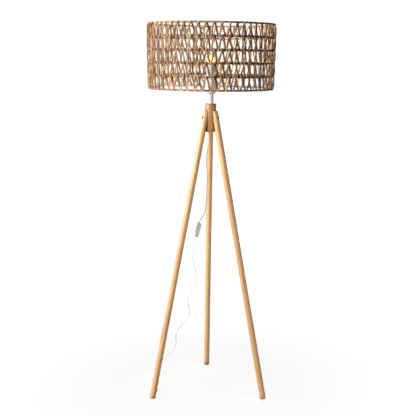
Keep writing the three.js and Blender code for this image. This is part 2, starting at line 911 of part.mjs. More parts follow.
function hankWidth(share) {
  return hankRadius - (hankRadius - hankWaist) * Math.sin(Math.PI * share) ** 2;
}

function hankPoint(step) {
  const loop = Math.floor(step / loopSteps);
  const within = step - loop * loopSteps;
  const half = hankRun / 2;
  const level = hankBase + hankPitch * loop;
  if (within <= runSteps) {
    const share = within / runSteps;
    return [hankWidth(share), half - hankRun * share, level];
  }
  if (within <= runSteps + bendSteps) {
    const angle = (-Math.PI * (within - runSteps)) / bendSteps;
    return [hankRadius * Math.cos(angle), -half + hankRadius * Math.sin(angle), level];
  }
  if (within <= 2 * runSteps + bendSteps) {
    const share = (within - runSteps - bendSteps) / runSteps;
    const climb = (hankPitch * (1 - Math.cos(Math.PI * share))) / 2;
    return [-hankWidth(share), -half + hankRun * share, level + climb];
  }
  const angle = Math.PI - (Math.PI * (within - 2 * runSteps - bendSteps)) / bendSteps;
  return [hankRadius * Math.cos(angle), half + hankRadius * Math.sin(angle), level + hankPitch];
}

function hankPath() {
  const last = hankLoops * loopSteps - bendSteps;
  const points = Array.from({ length: last + 1 }, (_, step) => hankPoint(step));
  const [first, end] = [points[0], points[last]];
  points.unshift([first[0], first[1] + cordDiameter, first[2]]);
  points.push([end[0], end[1] + cordDiameter, end[2]]);
  return points.map(([x, y, z]) => new THREE.Vector3(x + hankCentre[0], y + hankCentre[1], z));
}

// A tube through the given points, its section kept square to the bend at each of them.
function tubeThrough(points, diameter, sides) {
  const radius = diameter / 2;
  const upright = new THREE.Vector3(0, 0, 1);
  const rings = points.map((point, i) => {
    const before = points[Math.max(i - 1, 0)];
    const after = points[Math.min(i + 1, points.length - 1)];
    const into = point.clone().sub(before).normalize();
    const out = after.clone().sub(point).normalize();
    const tangent = into.add(out).normalize();
    const across = tangent.clone().cross(upright).normalize();
    const above = across.clone().cross(tangent);
    return Array.from({ length: sides }, (_, j) => {
      const angle = (fullTurn * (j + 0.5)) / sides;
      const ring = point.clone();
      ring.addScaledVector(across, radius * Math.cos(angle));
      ring.addScaledVector(above, radius * Math.sin(angle));
      return ring.toArray();
    });
  });
  return throughRings(rings, false);
}

// Least gap between stretches of the hank that are more than a few diameters apart along it.
function leastHankGap(points) {
  const finely = new THREE.CatmullRomCurve3(points).getSpacedPoints(points.length * 8);
  const step = finely[0].distanceTo(finely[1]);
  const apart = Math.ceil((3 * cordDiameter) / step);
  let least = Infinity;
  for (let i = 0; i < finely.length; i += 1) {
    for (let j = i + apart; j < finely.length; j += 1) {
      least = Math.min(least, finely[i].distanceTo(finely[j]));
    }
  }
  return least - cordDiameter;
}

// Band round the hank's waist.
function tieGeometry() {
  const half = hankWaist + cordDiameter / 2 + seat;
  const low = hankBase - cordDiameter / 2 - seat;
  const high = hankBase + hankPitch * (hankLoops - 0.5) + cordDiameter / 2 + seat;
  const t = tieThickness;
  const outline = new THREE.Shape();
  outline.moveTo(-half - t, low - t);
  outline.lineTo(half + t, low - t);
  outline.lineTo(half + t, high + t);
  outline.lineTo(-half - t, high + t);
  outline.closePath();
  const hole = new THREE.Path();
  hole.moveTo(-half, low);
  hole.lineTo(-half, high);
  hole.lineTo(half, high);
  hole.lineTo(half, low);
  hole.closePath();
  outline.holes.push(hole);
  const band = new THREE.ExtrudeGeometry(outline, { depth: tieWidth, bevelEnabled: false });
  band.translate(0, 0, -tieWidth / 2).rotateX(Math.PI / 2);
  return closed(band.translate(hankCentre[0], hankCentre[1], 0));
}

// The plug's own frame: Z from the cord to the blades, Y up.
function plugFrame() {
  const group = new THREE.Group();
  const forward = new THREE.Vector3(Math.cos(plugHeading), Math.sin(plugHeading), 0);
  const up = new THREE.Vector3(0, 0, 1);
  const across = up.clone().cross(forward);
  group.quaternion.setFromRotationMatrix(new THREE.Matrix4().makeBasis(across, up, forward));
  group.position.set(...plugStart);
  return group;
}

function bladeBlock(side, gap, low, high) {
  const middle = (low + high) / 2;
  const aside = (side * bladeSpacing) / 2;
  return block(bladeThickness + 2 * gap, bladeWidth + 2 * gap, high - low, aside, 0, middle);
}

function plugGeometry() {
  const [w, d] = [plugWidth / 2, plugDepth / 2];
  const end = plugReliefLength + plugLength;
  const edge = plugDepth / 10;
  const body = rounded(
    [
      [0, plugReliefEnd / 2, plugReliefEnd / 2],
      [plugReliefLength, plugReliefStart / 2, plugReliefStart / 2],
      [plugReliefLength + edge, w - 2 * edge, d - edge],
      [plugReliefLength + 4 * edge, w, d],
      [end - edge, w, d],
      [end, w - edge, d - edge],
    ],
    small,
  );
  const root = end - bladeRoot - seat;
  return cut(body, bladeBlock(1, seat, root, end + overrun), bladeBlock(-1, seat, root, end + overrun));
}

function bladeGeometry(side) {
  const end = plugReliefLength + plugLength;
  return bladeBlock(side, 0, end - bladeRoot, end + bladeLength);
}

// Cord from the grip to the switch, straight at both ends.
function upperCordCurve() {
  const frame = switchFrame();
  frame.updateMatrix();
  const top = new THREE.Vector3(0, 0, switchLength / 2 + seat).applyMatrix4(frame.matrix);
  const lead = new THREE.Vector3(0, 0, switchLength / 2 + 2 * cordDiameter).applyMatrix4(frame.matrix);
  const start = [0, 0, gripEnd - seat];
  const straight = [0, 0, gripEnd - 2 * cordDiameter];
  return smooth([start, straight, ...upperRoute, lead.toArray(), top.toArray()]);
}

function lowerCordCurve() {
  const frame = switchFrame();
  frame.updateMatrix();
  const bottom = new THREE.Vector3(0, 0, -switchLength / 2 - seat).applyMatrix4(frame.matrix);
  const lead = new THREE.Vector3(0, 0, -switchLength / 2 - 2 * cordDiameter).applyMatrix4(frame.matrix);
  const [first] = hankPath();
  const joint = [first.x, first.y + seat, first.z];
  const before = [first.x, first.y + 2 * cordDiameter, first.z];
  return smooth([bottom.toArray(), lead.toArray(), ...lowerRoute, before, joint]);
}

function tailCordCurve() {
  const end = hankPath().at(-1);
  const [x, y, z] = plugStart;
  const back = (distance) => [
    x - distance * Math.cos(plugHeading),
    y - distance * Math.sin(plugHeading),
    z,
  ];
  const start = [end.x, end.y + seat, end.z];
  const straight = [end.x, end.y + 2 * cordDiameter, end.z];
  return smooth([start, straight, ...tailRoute, back(2 * cordDiameter), back(seat)]);
}

const materials = Object.fromEntries(
  Object.entries(finishes).map(([name, finish]) => [name, new THREE.MeshStandardMaterial(finish)]),
);

function piece(name, geometry, finish) {
  const shaded = geometry.clone();
  shaded.computeVertexNormals();
  const mesh = new THREE.Mesh(shaded, materials[finish]);
  mesh.name = name;
  return mesh;
}

function stand() {
  const group = new THREE.Group();
  group.add(piece('hub', hubGeometry(), 'wood'));
  const names = ['back', 'front_left', 'front_right'];
  const [leg, bolt, insert] = [legGeometry(), boltGeometry(), insertGeometry()];
  for (let i = 0; i < legCount; i += 1) {
    const upright = new THREE.Group();
    upright.rotation.z = azimuthOf(i);
    const along = new THREE.Group();
    along.rotation.y = -legLean;
    along.position.set(footCircle - boltHeight() * Math.tan(legLean), 0, boltHeight());
    along.add(piece(`leg_bolt_${names[i]}`, bolt, 'darkSteel'));
    along.add(piece(`hub_insert_${names[i]}`, insert, 'brass'));
    upright.add(piece(`leg_${names[i]}`, leg, 'wood'), along);
    group.add(upright);
  }
  return group;
}

function stem() {
  const group = new THREE.Group();
  const leadTop = holderBase;
  group.add(piece('pole', poleGeometry(), 'whiteMetal'));
  group.add(piece('threaded_rod', rodGeometry(), 'zinc'));
  group.add(piece('hub_nut', nutGeometry(nutTop - nutHeight), 'zinc'));
  group.add(piece('lampholder_nut', nutGeometry(capBase + capWall + seat), 'zinc'));
  group.add(piece('cord_grip', gripGeometry(), 'whitePlastic'));
  group.add(piece('lead_in_rod', rod(cordDiameter / 2, gripTop + seat, leadTop, tiny), 'cord'));
  return group;
}

function lampholder() {
  const group = new THREE.Group();
  group.add(piece('lampholder_cap', capGeometry(), 'whitePlastic'));
  group.add(piece('lampholder_body', holderBodyGeometry(), 'whitePlastic'));
  group.add(piece('lampholder_carrier', carrierGeometry(), 'ceramic'));
  group.add(piece('lampholder_sleeve', sleeveGeometry(), 'zinc'));
  group.add(piece('lampholder_contact', contactGeometry(), 'brass'));
  group.add(piece('terminal_screw_left', terminalGeometry(-1), 'brass'));
  group.add(piece('terminal_screw_right', terminalGeometry(1), 'brass'));
  group.add(piece('shade_ring', shadeRingGeometry(), 'whitePlastic'));
  return group;
}

function bulb() {
  const group = new THREE.Group();
  group.add(piece('bulb_dome', bulbDomeGeometry(), 'opal'));
  group.add(piece('bulb_board', boardGeometry(), 'zinc'));
  group.add(piece('bulb_housing', bulbHousingGeometry(), 'whitePlastic'));
  group.add(piece('bulb_screw_cap', bulbCapGeometry(), 'zinc'));
  group.add(piece('bulb_insulator', bulbInsulatorGeometry(), 'blackGlass'));
  group.add(piece('bulb_tip', bulbTipGeometry(), 'brass'));
  return group;
}

function shade() {
  const group = new THREE.Group();
  group.add(piece('shade_spider', spiderGeometry(), 'whiteMetal'));
  for (let hoop = 0; hoop <= rowCount; hoop += 1) {
    group.add(piece(`shade_hoop_${hoop + 1}`, hoopGeometry(hoop), 'brownWire'));
  }
  for (let row = 0; row < rowCount; row += 1) {
    group.add(piece(`shade_row_${row + 1}`, rowGeometry(row), 'rope'));
  }
  const stay = stayGeometry();
  for (let i = 0; i < armCount; i += 1) {
    const mesh = piece(`shade_stay_${i + 1}`, stay, 'brownWire');
    mesh.rotation.z = armAngle + (fullTurn * i) / armCount;
    group.add(mesh);
  }
  return group;
}

function cord() {
  const group = new THREE.Group();
  const path = hankPath();
  console.log(`least gap of the hank to itself: ${leastHankGap(path).toFixed(2)} mm`);
  const [upperSteps, lowerSteps, tailSteps] = [22, 50, 8];
  group.add(piece('cord_upper', cordAlong(upperCordCurve(), cordDiameter, upperSteps), 'cord'));
  group.add(piece('cord_lower', cordAlong(lowerCordCurve(), cordDiameter, lowerSteps), 'cord'));
  group.add(piece('cord_hank', tubeThrough(path, cordDiameter, six), 'cord'));
  group.add(piece('cord_tie', tieGeometry(), 'cord'));
  group.add(piece('cord_tail', cordAlong(tailCordCurve(), cordDiameter, tailSteps), 'cord'));
  const inline = switchFrame();
  inline.add(piece('switch_face', switchFaceGeometry(), 'whitePlastic'));
  inline.add(piece('switch_back', switchBackGeometry(), 'whitePlastic'));
  inline.add(piece('switch_contact', switchContactGeometry(), 'brass'));
  inline.add(piece('switch_screw_top', switchScrewGeometry(1), 'zinc'));
  inline.add(piece('switch_screw_bottom', switchScrewGeometry(-1), 'zinc'));
  const rocker = piece('switch_rocker', rockerGeometry(), 'whitePlastic');
  rocker.position.y = rockerPivot();
  rocker.rotation.x = rockerTilt;
  inline.add(rocker);
  const plug = plugFrame();
  plug.add(piece('plug_body', plugGeometry(), 'whitePlastic'));
  plug.add(piece('plug_blade_left', bladeGeometry(-1), 'zinc'));
  plug.add(piece('plug_blade_right', bladeGeometry(1), 'zinc'));
  group.add(inline, plug);
  return group;
}

const lamp = new THREE.Group();
lamp.name = 'floor_lamp';
lamp.add(stand(), stem(), lampholder(), bulb(), shade(), cord());

export default lamp;
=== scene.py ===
import json
import math
import random
from contextlib import contextmanager

import bmesh
import bpy
import numpy as np
from mathutils import Matrix, Vector

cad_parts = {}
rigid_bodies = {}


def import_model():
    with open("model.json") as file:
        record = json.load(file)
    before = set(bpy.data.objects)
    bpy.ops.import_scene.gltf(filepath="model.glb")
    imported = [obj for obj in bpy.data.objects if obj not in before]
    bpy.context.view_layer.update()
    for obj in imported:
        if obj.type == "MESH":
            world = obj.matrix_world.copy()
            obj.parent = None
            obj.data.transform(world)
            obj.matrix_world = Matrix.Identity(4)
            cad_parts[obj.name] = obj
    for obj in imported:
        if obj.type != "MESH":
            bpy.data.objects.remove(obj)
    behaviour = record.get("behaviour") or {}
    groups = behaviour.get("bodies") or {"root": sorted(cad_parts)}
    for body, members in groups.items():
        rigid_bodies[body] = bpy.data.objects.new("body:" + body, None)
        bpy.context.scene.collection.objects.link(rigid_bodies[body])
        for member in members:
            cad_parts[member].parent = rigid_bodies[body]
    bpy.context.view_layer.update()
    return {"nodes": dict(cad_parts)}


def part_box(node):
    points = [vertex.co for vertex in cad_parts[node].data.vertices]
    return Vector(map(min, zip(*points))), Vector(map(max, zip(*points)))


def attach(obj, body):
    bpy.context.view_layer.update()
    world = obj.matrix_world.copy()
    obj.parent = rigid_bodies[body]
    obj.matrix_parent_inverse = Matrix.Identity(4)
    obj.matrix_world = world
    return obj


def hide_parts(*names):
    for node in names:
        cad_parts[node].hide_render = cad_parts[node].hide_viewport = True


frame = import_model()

MM = 0.001
TURN = 2 * math.pi
QUARTER = math.pi / 2
WHITE = (1, 1, 1, 1)
UP = Vector((0, 0, 1))
moved = Matrix.Translation
scene = bpy.context.scene


def mm(*sizes):
    """Sizes given in millimetres."""
    return [size * MM for size in sizes]


def rotated(angle, axis):
    return Matrix.Rotation(angle, 4, axis)


def put(name, data, **settings):
    """A new object in the scene, its data set as given."""
    for setting, value in settings.items():
        setattr(data, setting, value)
    item = bpy.data.objects.new(name, data)
    scene.collection.objects.link(item)
    return item


# Camera: the photograph's place and angle

camera = put("camera", bpy.data.cameras.new("camera"), sensor_width=36, lens=72.85,
             clip_start=0.1, clip_end=100)
camera_place = Vector((-0.0559, -3.3283, 1.3550))
camera_heading = -0.01513
camera_pitch = math.radians(90 - 10.202)
camera_roll = 0.01165
camera.matrix_world = (
    moved(camera_place)
    @ rotated(camera_heading, "Z")
    @ rotated(camera_pitch, "X")
    @ rotated(camera_roll, "Z")
)
scene.camera = camera


# Colours and materials

def srgb(*values):
    """Linear colour from the 0-255 values of a picture."""
    shares = [value / 255 for value in values]
    return (*[s / 12.92 if s <= 0.04045 else ((s + 0.055) / 1.055) ** 2.4 for s in shares], 1)


def shaded(colour, factor):
    """The colour made darker or lighter by a factor."""
    return tuple(min(part * factor, 1) for part in colour[:3]) + (1,)


class Nodes:
    """Nodes of a material or the world. A socket takes a value or another node's socket."""

    def __init__(self, owner):
        owner.use_nodes = True
        self.tree = owner.node_tree

    def fill(self, node, values):
        for socket, value in values.items():
            if isinstance(value, bpy.types.NodeSocket):
                self.tree.links.new(value, node.inputs[socket])
            else:
                node.inputs[socket].default_value = value
        return node

    def new(self, kind, values=None, **settings):
        node = self.tree.nodes.new("ShaderNode" + kind)
        for name, value in settings.items():
            setattr(node, name, value)
        return self.fill(node, values or {})

    def spread(self, value, low, high, start=0.3, end=0.7, **settings):
        ranges = {"From Min": start, "From Max": end, "To Min": low, "To Max": high}
        return self.new("MapRange", {"Value": value, **ranges}, **settings).outputs[0]


finishes = {}


class Finish(Nodes):
    """A Principled material. Patterns are made of nodes in the object's own coordinates."""

    def __init__(self, name, colour, roughness, **sockets):
        material = finishes[name] = bpy.data.materials.new(name)
        material.diffuse_color = colour
        super().__init__(material)
        self.set(Base_Color=colour, Roughness=roughness, **sockets)

    def set(self, **sockets):
        """Fills sockets of the shader, named with _ for each space."""
        values = {name.replace("_", " "): value for name, value in sockets.items()}
        self.fill(self.tree.nodes["Principled BSDF"], values)

    def place(self, scale=(1, 1, 1), shift=(0, 0, 0), uv=None):
        if uv:
            vector = self.new("UVMap", uv_map=uv).outputs[0]
        else:
            vector = self.new("TexCoord").outputs["Object"]
        return self.new("Mapping", {"Vector": vector, "Scale": scale, "Location": shift}).outputs[0]

    def noise(self, vector, scale, detail=4, roughness=0.55, distortion=0):
        values = {"Scale": scale, "Detail": detail, "Roughness": roughness}
        values |= {"Vector": vector, "Distortion": distortion}
        return self.new("TexNoise", values).outputs[0]

    def ramp(self, value, *stops):
        node = self.new("ValToRGB", {0: value})
        elements = node.color_ramp.elements
        while len(elements) < len(stops):
            elements.new(0.5)
        for element, (position, colour) in zip(elements, stops):
            element.position = position
            element.color = colour
        return node.outputs[0]

    def mix(self, factor, first, second, blend="MIX"):
        values = {0: factor, 6: first, 7: second}
        return self.new("Mix", values, data_type="RGBA", blend_type=blend).outputs[2]

    def tint(self, factor, colour, pattern, *stops):
        """The colour times a pattern that runs through the stops, the last of them white."""
        *stops, end = stops
        return self.mix(factor, colour, self.ramp(pattern, *stops, (end, WHITE)), "MULTIPLY")

    def rise(self, foot, top, *stops):
        """Colours that change with the height."""
        height = self.new("SeparateXYZ", {0: self.place()}).outputs[2]
        return self.ramp(self.spread(height, 0, 1, foot, top), *stops)

    def shade_openness(self, reach):
        """Openness from 0 in crevices to 1 on free surfaces, used to paint shade into a colour."""
        return self.new("AmbientOcclusion", {"Distance": reach}, samples=4).outputs["AO"]

    def bump(self, height, distance):
        values = {"Height": height, "Distance": distance, "Strength": 1}
        self.set(Normal=self.new("Bump", values).outputs[0])


def wood(name, light, dark, seed, reach=18 * MM, marks=0):
    """Varnished hardwood: grain along the Z axis, turning marks round it, and painted shade that
    darkens its crevices.
    """
    look = Finish(name, light, 0.45, Coat_Weight=0.12, Coat_Roughness=0.3)
    shift = (seed * 0.37, seed * 0.53, seed * 0.29)
    along = look.place((1, 1, 0.045), shift)
    rings = look.noise(along, 150, 3, 0.5, 0.6)
    fibre = look.noise(along, 620, 5, 0.6)
    pores = look.noise(look.place((1, 1, 0.03), shift), 2300, 2, 0.5)
    patch = look.noise(look.place((1, 1, 0.3), shift), 14, 2)
    band = look.noise(look.place((0.04, 0.04, 1), shift), 120, 2)
    tone = look.ramp(rings, (0.3, dark), (0.5, light), (0.72, shaded(light, 1.08)))
    fine = look.ramp(fibre, (0.34, shaded(dark, 0.82)), (0.6, shaded(light, 1.04)))
    colour = look.mix(0.42, tone, fine)
    colour = look.tint(0.35, colour, pores, (0.3, shaded(dark, 0.9)), 0.42)
    colour = look.tint(0.7, colour, patch, (0.3, (0.86, 0.8, 0.74, 1)), 0.65)
    colour = look.tint(marks, colour, band, (0.36, srgb(184, 136, 92)), 0.58)
    # Painted shade: the wood darkens where it is enclosed, in crevices and where the legs meet the
    # hub
    shade_stops = (0.42, srgb(64, 28, 4)), (0.64, srgb(200, 168, 132)), 0.86
    colour = look.tint(1, colour, look.shade_openness(reach), *shade_stops)
    look.set(Base_Color=colour, Roughness=look.spread(fibre, 0.52, 0.38))
    look.bump(look.mix(0.5, fibre, pores), 0.12 * MM)


def plain(name, colour, roughness, variation, grain, depth, cloud=60, **more):
    """Painted, moulded or plated surface: cloudy tone, uneven gloss and a fine grain."""
    look = Finish(name, colour, roughness, **more)
    clouds = look.noise(look.place(), cloud, 4)
    fine = look.noise(look.place(shift=(0.3, 0.1, 0.2)), grain, 3)
    low, high = shaded(colour, 1 - variation), shaded(colour, 1 + variation)
    gloss = look.spread(fine, roughness * 0.85, min(roughness * 1.2, 1))
    look.set(Base_Color=look.ramp(clouds, (0.32, low), (0.68, high)), Roughness=gloss)
    look.bump(fine, depth * MM)


def brushed(name, colour, roughness):
    """Plated metal with fine turning marks round the Z axis."""
    look = Finish(name, colour, roughness, Metallic=1.0)
    marks = look.noise(look.place((0.04, 0.04, 1)), 2600, 3)
    stain = look.noise(look.place(), 130, 4)
    tone = look.ramp(stain, (0.3, shaded(colour, 0.72)), (0.62, colour))
    gloss = look.spread(marks, roughness * 0.75, roughness * 1.35)
    look.set(Base_Color=tone, Roughness=gloss)
    look.bump(marks, 0.02 * MM)


def rope_finish(name, light, middle, dark, streaks):
    """Paper cord or ribbon: streaks along it, fuzz, tone that changes from turn to turn, and
    painted shade where strands lie close together or wrap a hoop.
    """
    look = Finish(name, middle, 0.6)
    streak = look.noise(look.place((*streaks, 1), uv="Run"), 1, 5, 0.65, 0.4)
    fuzz = look.noise(look.place((10 * MM, 1, 1), uv="Run"), 900, 3, 0.6)
    turn = look.noise(look.place((1, 1, 0.25)), 85, 2, 0.5)
    stain = look.noise(look.place(shift=(0.7, 0.2, 0.4)), 9, 2)
    tone = look.ramp(streak, (0.28, dark), (0.45, middle), (0.66, light))
    colour = look.tint(0.85, tone, turn, (0.38, srgb(128, 87, 50)), 0.56)
    colour = look.tint(0.6, colour, stain, (0.35, srgb(218, 204, 184)), 0.6)
    # Painted shade: the cord darkens where other strands and the hoops enclose it
    shade_stops = (0.45, srgb(72, 32, 6)), (0.7, srgb(206, 179, 146)), 0.94
    colour = look.tint(1, colour, look.shade_openness(20 * MM), *shade_stops)
    look.set(Base_Color=colour, Roughness=look.spread(fuzz, 0.45, 0.7))
    look.bump(look.mix(0.4, streak, fuzz), 0.5 * MM)


light_foot, light_top, opal_top = 1.318, 1.340, 1.362


def opal():
    """Frosted glass with a little light of its own, warmer towards its foot."""
    warm, pale = srgb(255, 186, 86), srgb(255, 236, 200)
    look = Finish("opal", pale, 0.35, Emission_Strength=0.06, Alpha=0.22)
    cloud = look.noise(look.place(), 40, 2)
    look.set(
        Base_Color=look.ramp(cloud, (0.3, shaded(pale, 0.93)), (0.7, pale)),
        Emission_Color=look.rise(light_foot, opal_top, (0, warm), (0.9, pale)),
        Roughness=look.spread(cloud, 0.3, 0.42),
    )


def light_source(name, warm, pale, strength, alpha):
    """Part of the inner diffuser: its own light, warmer at the foot, and a faint grain."""
    look = Finish(name, pale, 0.5, Emission_Strength=strength, Alpha=alpha)
    cloud = look.noise(look.place(), 260, 2)
    look.set(
        Base_Color=look.ramp(cloud, (0.3, shaded(pale, 0.9)), (0.7, pale)),
        Emission_Color=look.rise(light_foot, light_top, (0, warm), (1, pale)),
    )
    look.bump(cloud, 0.05 * MM)


wood("wood_pale", srgb(224, 178, 130), srgb(190, 138, 90), 1)
wood("wood_brown", srgb(220, 175, 124), srgb(178, 128, 79), 2)
# The back leg's wood is lighter than the front legs': painted light for the more even light on that
# leg
wood("wood_warm", srgb(240, 196, 146), srgb(214, 164, 112), 3)
# The hub's painted shade reaches farthest, darkening the gaps between it and the tops of the legs
wood("wood_hub", srgb(196, 148, 92), srgb(138, 90, 42), 4, 45 * MM, 0.35)
plain("dark_steel", srgb(98, 90, 84), 0.36, 0.25, 1500, 0.02, 200, Metallic=0.9)
plain("white_metal", srgb(230, 227, 227), 0.42, 0.03, 1700, 0.05)
plain("white_plastic", srgb(247, 246, 244), 0.32, 0.02, 1200, 0.02)
plain("carrier", srgb(214, 209, 196), 0.6, 0.06, 1400, 0.06)
plain("black_glass", srgb(28, 26, 30), 0.12, 0.2, 500, 0.01)
plain("brown_wire", srgb(70, 46, 30), 0.5, 0.3, 900, 0.08, 150)
plain("cord_sheath", srgb(236, 235, 230), 0.4, 0.03, 1100, 0.03, 80)
plain("switch_mark", srgb(120, 120, 118), 0.5, 0.05, 1500, 0.01)
brushed("zinc", srgb(196, 198, 196), 0.3)
brushed("brass", srgb(206, 172, 104), 0.28)
rope_finish("rope", srgb(254, 231, 192), srgb(237, 200, 151), srgb(113, 73, 40), (26, 150))
# The bindings are darker copies of the cord's finish: the rims' binding partly the ribbon's own
# tone and partly painted shade, the inner hoops' binding painted shade for the dark bands at the
# hoops
rope_finish("binding", srgb(200, 160, 114), srgb(140, 99, 62), srgb(66, 40, 18), (22, 260))
rope_finish("painted_shade_binding", srgb(134, 92, 58), srgb(100, 64, 38), srgb(62, 38, 22), (22, 260))
opal()
light_source("light_core", srgb(255, 214, 120), srgb(255, 246, 222), 8, 1)
light_source("light_veil", srgb(255, 150, 20), srgb(255, 180, 60), 2.0, 0.7)


# Shapes

weld = 2e-6


@contextmanager
def editing(mesh):
    """The mesh opened as a bmesh, and written back at the end of the with block."""
    work = bmesh.new()
    work.from_mesh(mesh)
    yield work
    work.to_mesh(mesh)
    work.free()


def from_rings(rings, loop=False, run=None):
    """Mesh through rings of points, capped at its ends or closed to a loop.

    A loop can have UVs: the share of the way round a ring, and the run along the rings."""
    rings = np.asarray(rings, dtype=float)
    count, sides = rings.shape[:2]
    index = np.arange(count * sides).reshape(count, sides)
    below = index if loop else index[:-1]
    above = np.roll(index, -1, 0) if loop else index[1:]
    corners = [below, np.roll(below, -1, 1), np.roll(above, -1, 1), above]
    faces = np.stack(corners, -1).reshape(-1, 4).tolist()
    if not loop:
        faces += [index[0][::-1].tolist(), index[-1].tolist()]
    mesh = bpy.data.meshes.new("rings")
    mesh.from_pydata(rings.reshape(-1, 3).tolist(), [], faces)
    if run is not None:
        u = np.arange(sides) / sides + np.array([0, 1, 1, 0])[:, None, None] / sides
        v = np.array([run[:-1], run[:-1], run[1:], run[1:]])[:, :, None]
        uv = np.stack(np.broadcast_arrays(u, v), -1).transpose(1, 2, 0, 3)
        mesh.uv_layers.new(name="Run").data.foreach_set("uv", uv.ravel())
    return mesh


def neaten(mesh, sharp=35):
    """Welds doubled points, turns every face outwards and smooths all but the sharp edges."""
    with editing(mesh) as work:
        bmesh.ops.remove_doubles(work, verts=work.verts, dist=weld)
        bmesh.ops.dissolve_degenerate(work, edges=work.edges, dist=1e-7)
        bmesh.ops.recalc_face_normals(work, faces=work.faces)
    mesh.shade_smooth()
    mesh.set_sharp_from_angle(angle=math.radians(sharp))


def polar(radius, angle, height=0.0):
    return Vector((radius * math.cos(angle), radius * math.sin(angle), height))


def arc(across, height, radius, start, end, count, rise=None):
    """Profile points on a circle, or on an ellipse of another rise."""
    return [
        (across + radius * math.cos(a), height + (rise or radius) * math.sin(a))
        for a in np.linspace(start, end, count)
    ]


def wall_profile(inner, outer, low, high):
    return [(inner, low), (outer, low), (outer, high), (inner, high)]


def soften(profile, radius, closed=False, steps=4):
    """Rounds the corners of a profile, except its ends on the axis."""
    points = [Vector(point) for point in profile]
    result = []
    for i, point in enumerate(points):
        if not closed and i in (0, len(points) - 1):
            result.append(tuple(point))
            continue
        before = points[i - 1] - point
        after = points[(i + 1) % len(points)] - point
        reach = min(radius, 0.45 * before.length, 0.45 * after.length)
        first = point + before.normalized() * reach
        last = point + after.normalized() * reach
        for t in (step / steps for step in range(steps + 1)):
            mixed = first * (1 - t) ** 2 + point * (2 * t * (1 - t)) + last * t**2
            result.append(tuple(mixed))
    return result


def densify(profile, step, low, high):
    """Adds points to the stretches of a closed profile between two heights."""
    result = []
    for i, point in enumerate(profile):
        a, b = Vector(point), Vector(profile[(i + 1) % len(profile)])
        inside = low - step <= min(a.y, b.y) and max(a.y, b.y) <= high + step
        pieces = max(1, math.ceil((b - a).length / step)) if inside else 1
        result += [tuple(a.lerp(b, j / pieces)) for j in range(pieces)]
    return result


def turned(profile, sides=48, closed=False, relief=None):
    """Mesh of a profile turned round Z. A profile point is (radius, height)."""
    angles = np.arange(sides) * (TURN / sides)
    rings = []
    for radius, height in profile:
        radii = np.full(sides, radius, dtype=float)
        if relief and radius:
            radii -= relief(angles, radius, height)
        circle = [radii * np.cos(angles), radii * np.sin(angles), np.full(sides, height)]
        rings.append(np.stack(circle, -1))
    return from_rings(rings, closed)


def on_wall(radius, low, high, depth):
    """Relief cut into the wall of this radius, or into any wall for None, between two heights."""
    def relief(angles, at_radius, height):
        near = radius is None or abs(at_radius - radius) <= 0.05 * MM
        return depth(angles, height) if near and low < height < high else 0
    return relief


def thread(radius, low, high, pitch, depth):
    """Relief of a round thread that runs out at both ends."""
    def cut(angles, height):
        fade = min(1, (height - low) / pitch, (high - height) / pitch)
        return depth * fade * (1 - np.sin(TURN * height / pitch - angles)) / 2
    return on_wall(radius, low, high, cut)


def unit(rows):
    """Each row of an array made one long."""
    return rows / np.linalg.norm(rows, axis=1)[:, None]


def run_along(points):
    """Distance along a line of points, from its start to each of them."""
    return np.concatenate([[0], np.cumsum(np.linalg.norm(np.diff(points, axis=0), axis=1))])


def centripetal(points, spacing):
    """Points every spacing along the centripetal Catmull-Rom curve through the given ones."""
    def between(first, second, low, high):
        return ((high - t) * first + (t - low) * second) / (high - low)

    given = np.array(points, dtype=float)
    p = np.vstack([2 * given[0] - given[1], given, 2 * given[-1] - given[-2]])
    samples = []
    for i in range(1, len(p) - 2):
        gaps = [np.linalg.norm(p[i + k] - p[i + k - 1]) ** 0.5 for k in range(3)]
        knots = np.concatenate([[0], np.cumsum(gaps)])
        for t in np.linspace(knots[1], knots[2], 24, endpoint=False):
            a = [between(p[i + k - 1], p[i + k], knots[k], knots[k + 1]) for k in range(3)]
            b = [between(a[k], a[k + 1], knots[k], knots[k + 2]) for k in range(2)]
            samples.append(between(*b, knots[1], knots[2]))
    samples = np.array(samples + [given[-1]])
    run = run_along(samples)
    at = np.linspace(0, run[-1], max(2, int(round(run[-1] / spacing)) + 1))
    return np.stack([np.interp(at, run, samples[:, k]) for k in range(3)], -1)


def add(name, mesh, finish, stands_for=(), matrix=None, body="stand", sharp=35):
    """Puts a piece in the scene, on its body, in place of the CAD nodes it stands for."""
    if sharp:
        neaten(mesh, sharp)
    mesh.materials.append(finishes[finish])
    piece = put(name, mesh)
    if matrix:
        piece.matrix_world = matrix
    if stands_for:
        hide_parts(*stands_for)
    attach(piece, body)


def tool(mesh, matrix=None):
    """A cutter: an object that carve() uses up."""
    neaten(mesh)
    cutter = put("cutter", mesh)
    if matrix:
        cutter.matrix_world = matrix
    return cutter


def carve(mesh, *tools, matrix=None, operation="DIFFERENCE"):
    """The mesh with the cutters taken away, or joined on."""
    body = tool(mesh, matrix)
    for cutter in tools:
        step = body.modifiers.new("carve", "BOOLEAN")
        step.operation = operation
        step.solver = "EXACT"
        step.object = cutter
    bpy.context.view_layer.update()
    ready = body.evaluated_get(bpy.context.evaluated_depsgraph_get())
    result = bpy.data.meshes.new_from_object(ready)
    for used in [body, *tools]:
        old = used.data
        bpy.data.objects.remove(used)
        bpy.data.meshes.remove(old)
    return result


def bar(radius, low, high, sides=32):
    """Round bar along Z."""
    return turned(wall_profile(0, radius, low, high), sides)


def prism(sides, across, low, high):
    """Bar with flat sides, given the distance across them."""
    radius = across / 2 / math.cos(math.pi / sides)
    return turned([(radius, low), (radius, high)], sides)


def slab(size, centre, edge=0.0, segments=2):
    """Block with softened edges."""
    mesh = bpy.data.meshes.new("slab")
    with editing(mesh) as work:
        bmesh.ops.create_cube(work, size=1)
        for vertex in work.verts:
            vertex.co = Vector([c + v * s for c, v, s in zip(centre, vertex.co, size)])
        if edge:
            bmesh.ops.bevel(work, geom=work.edges, offset=edge, segments=segments,
                            affect="EDGES", profile=0.5, clamp_overlap=True)
    return mesh


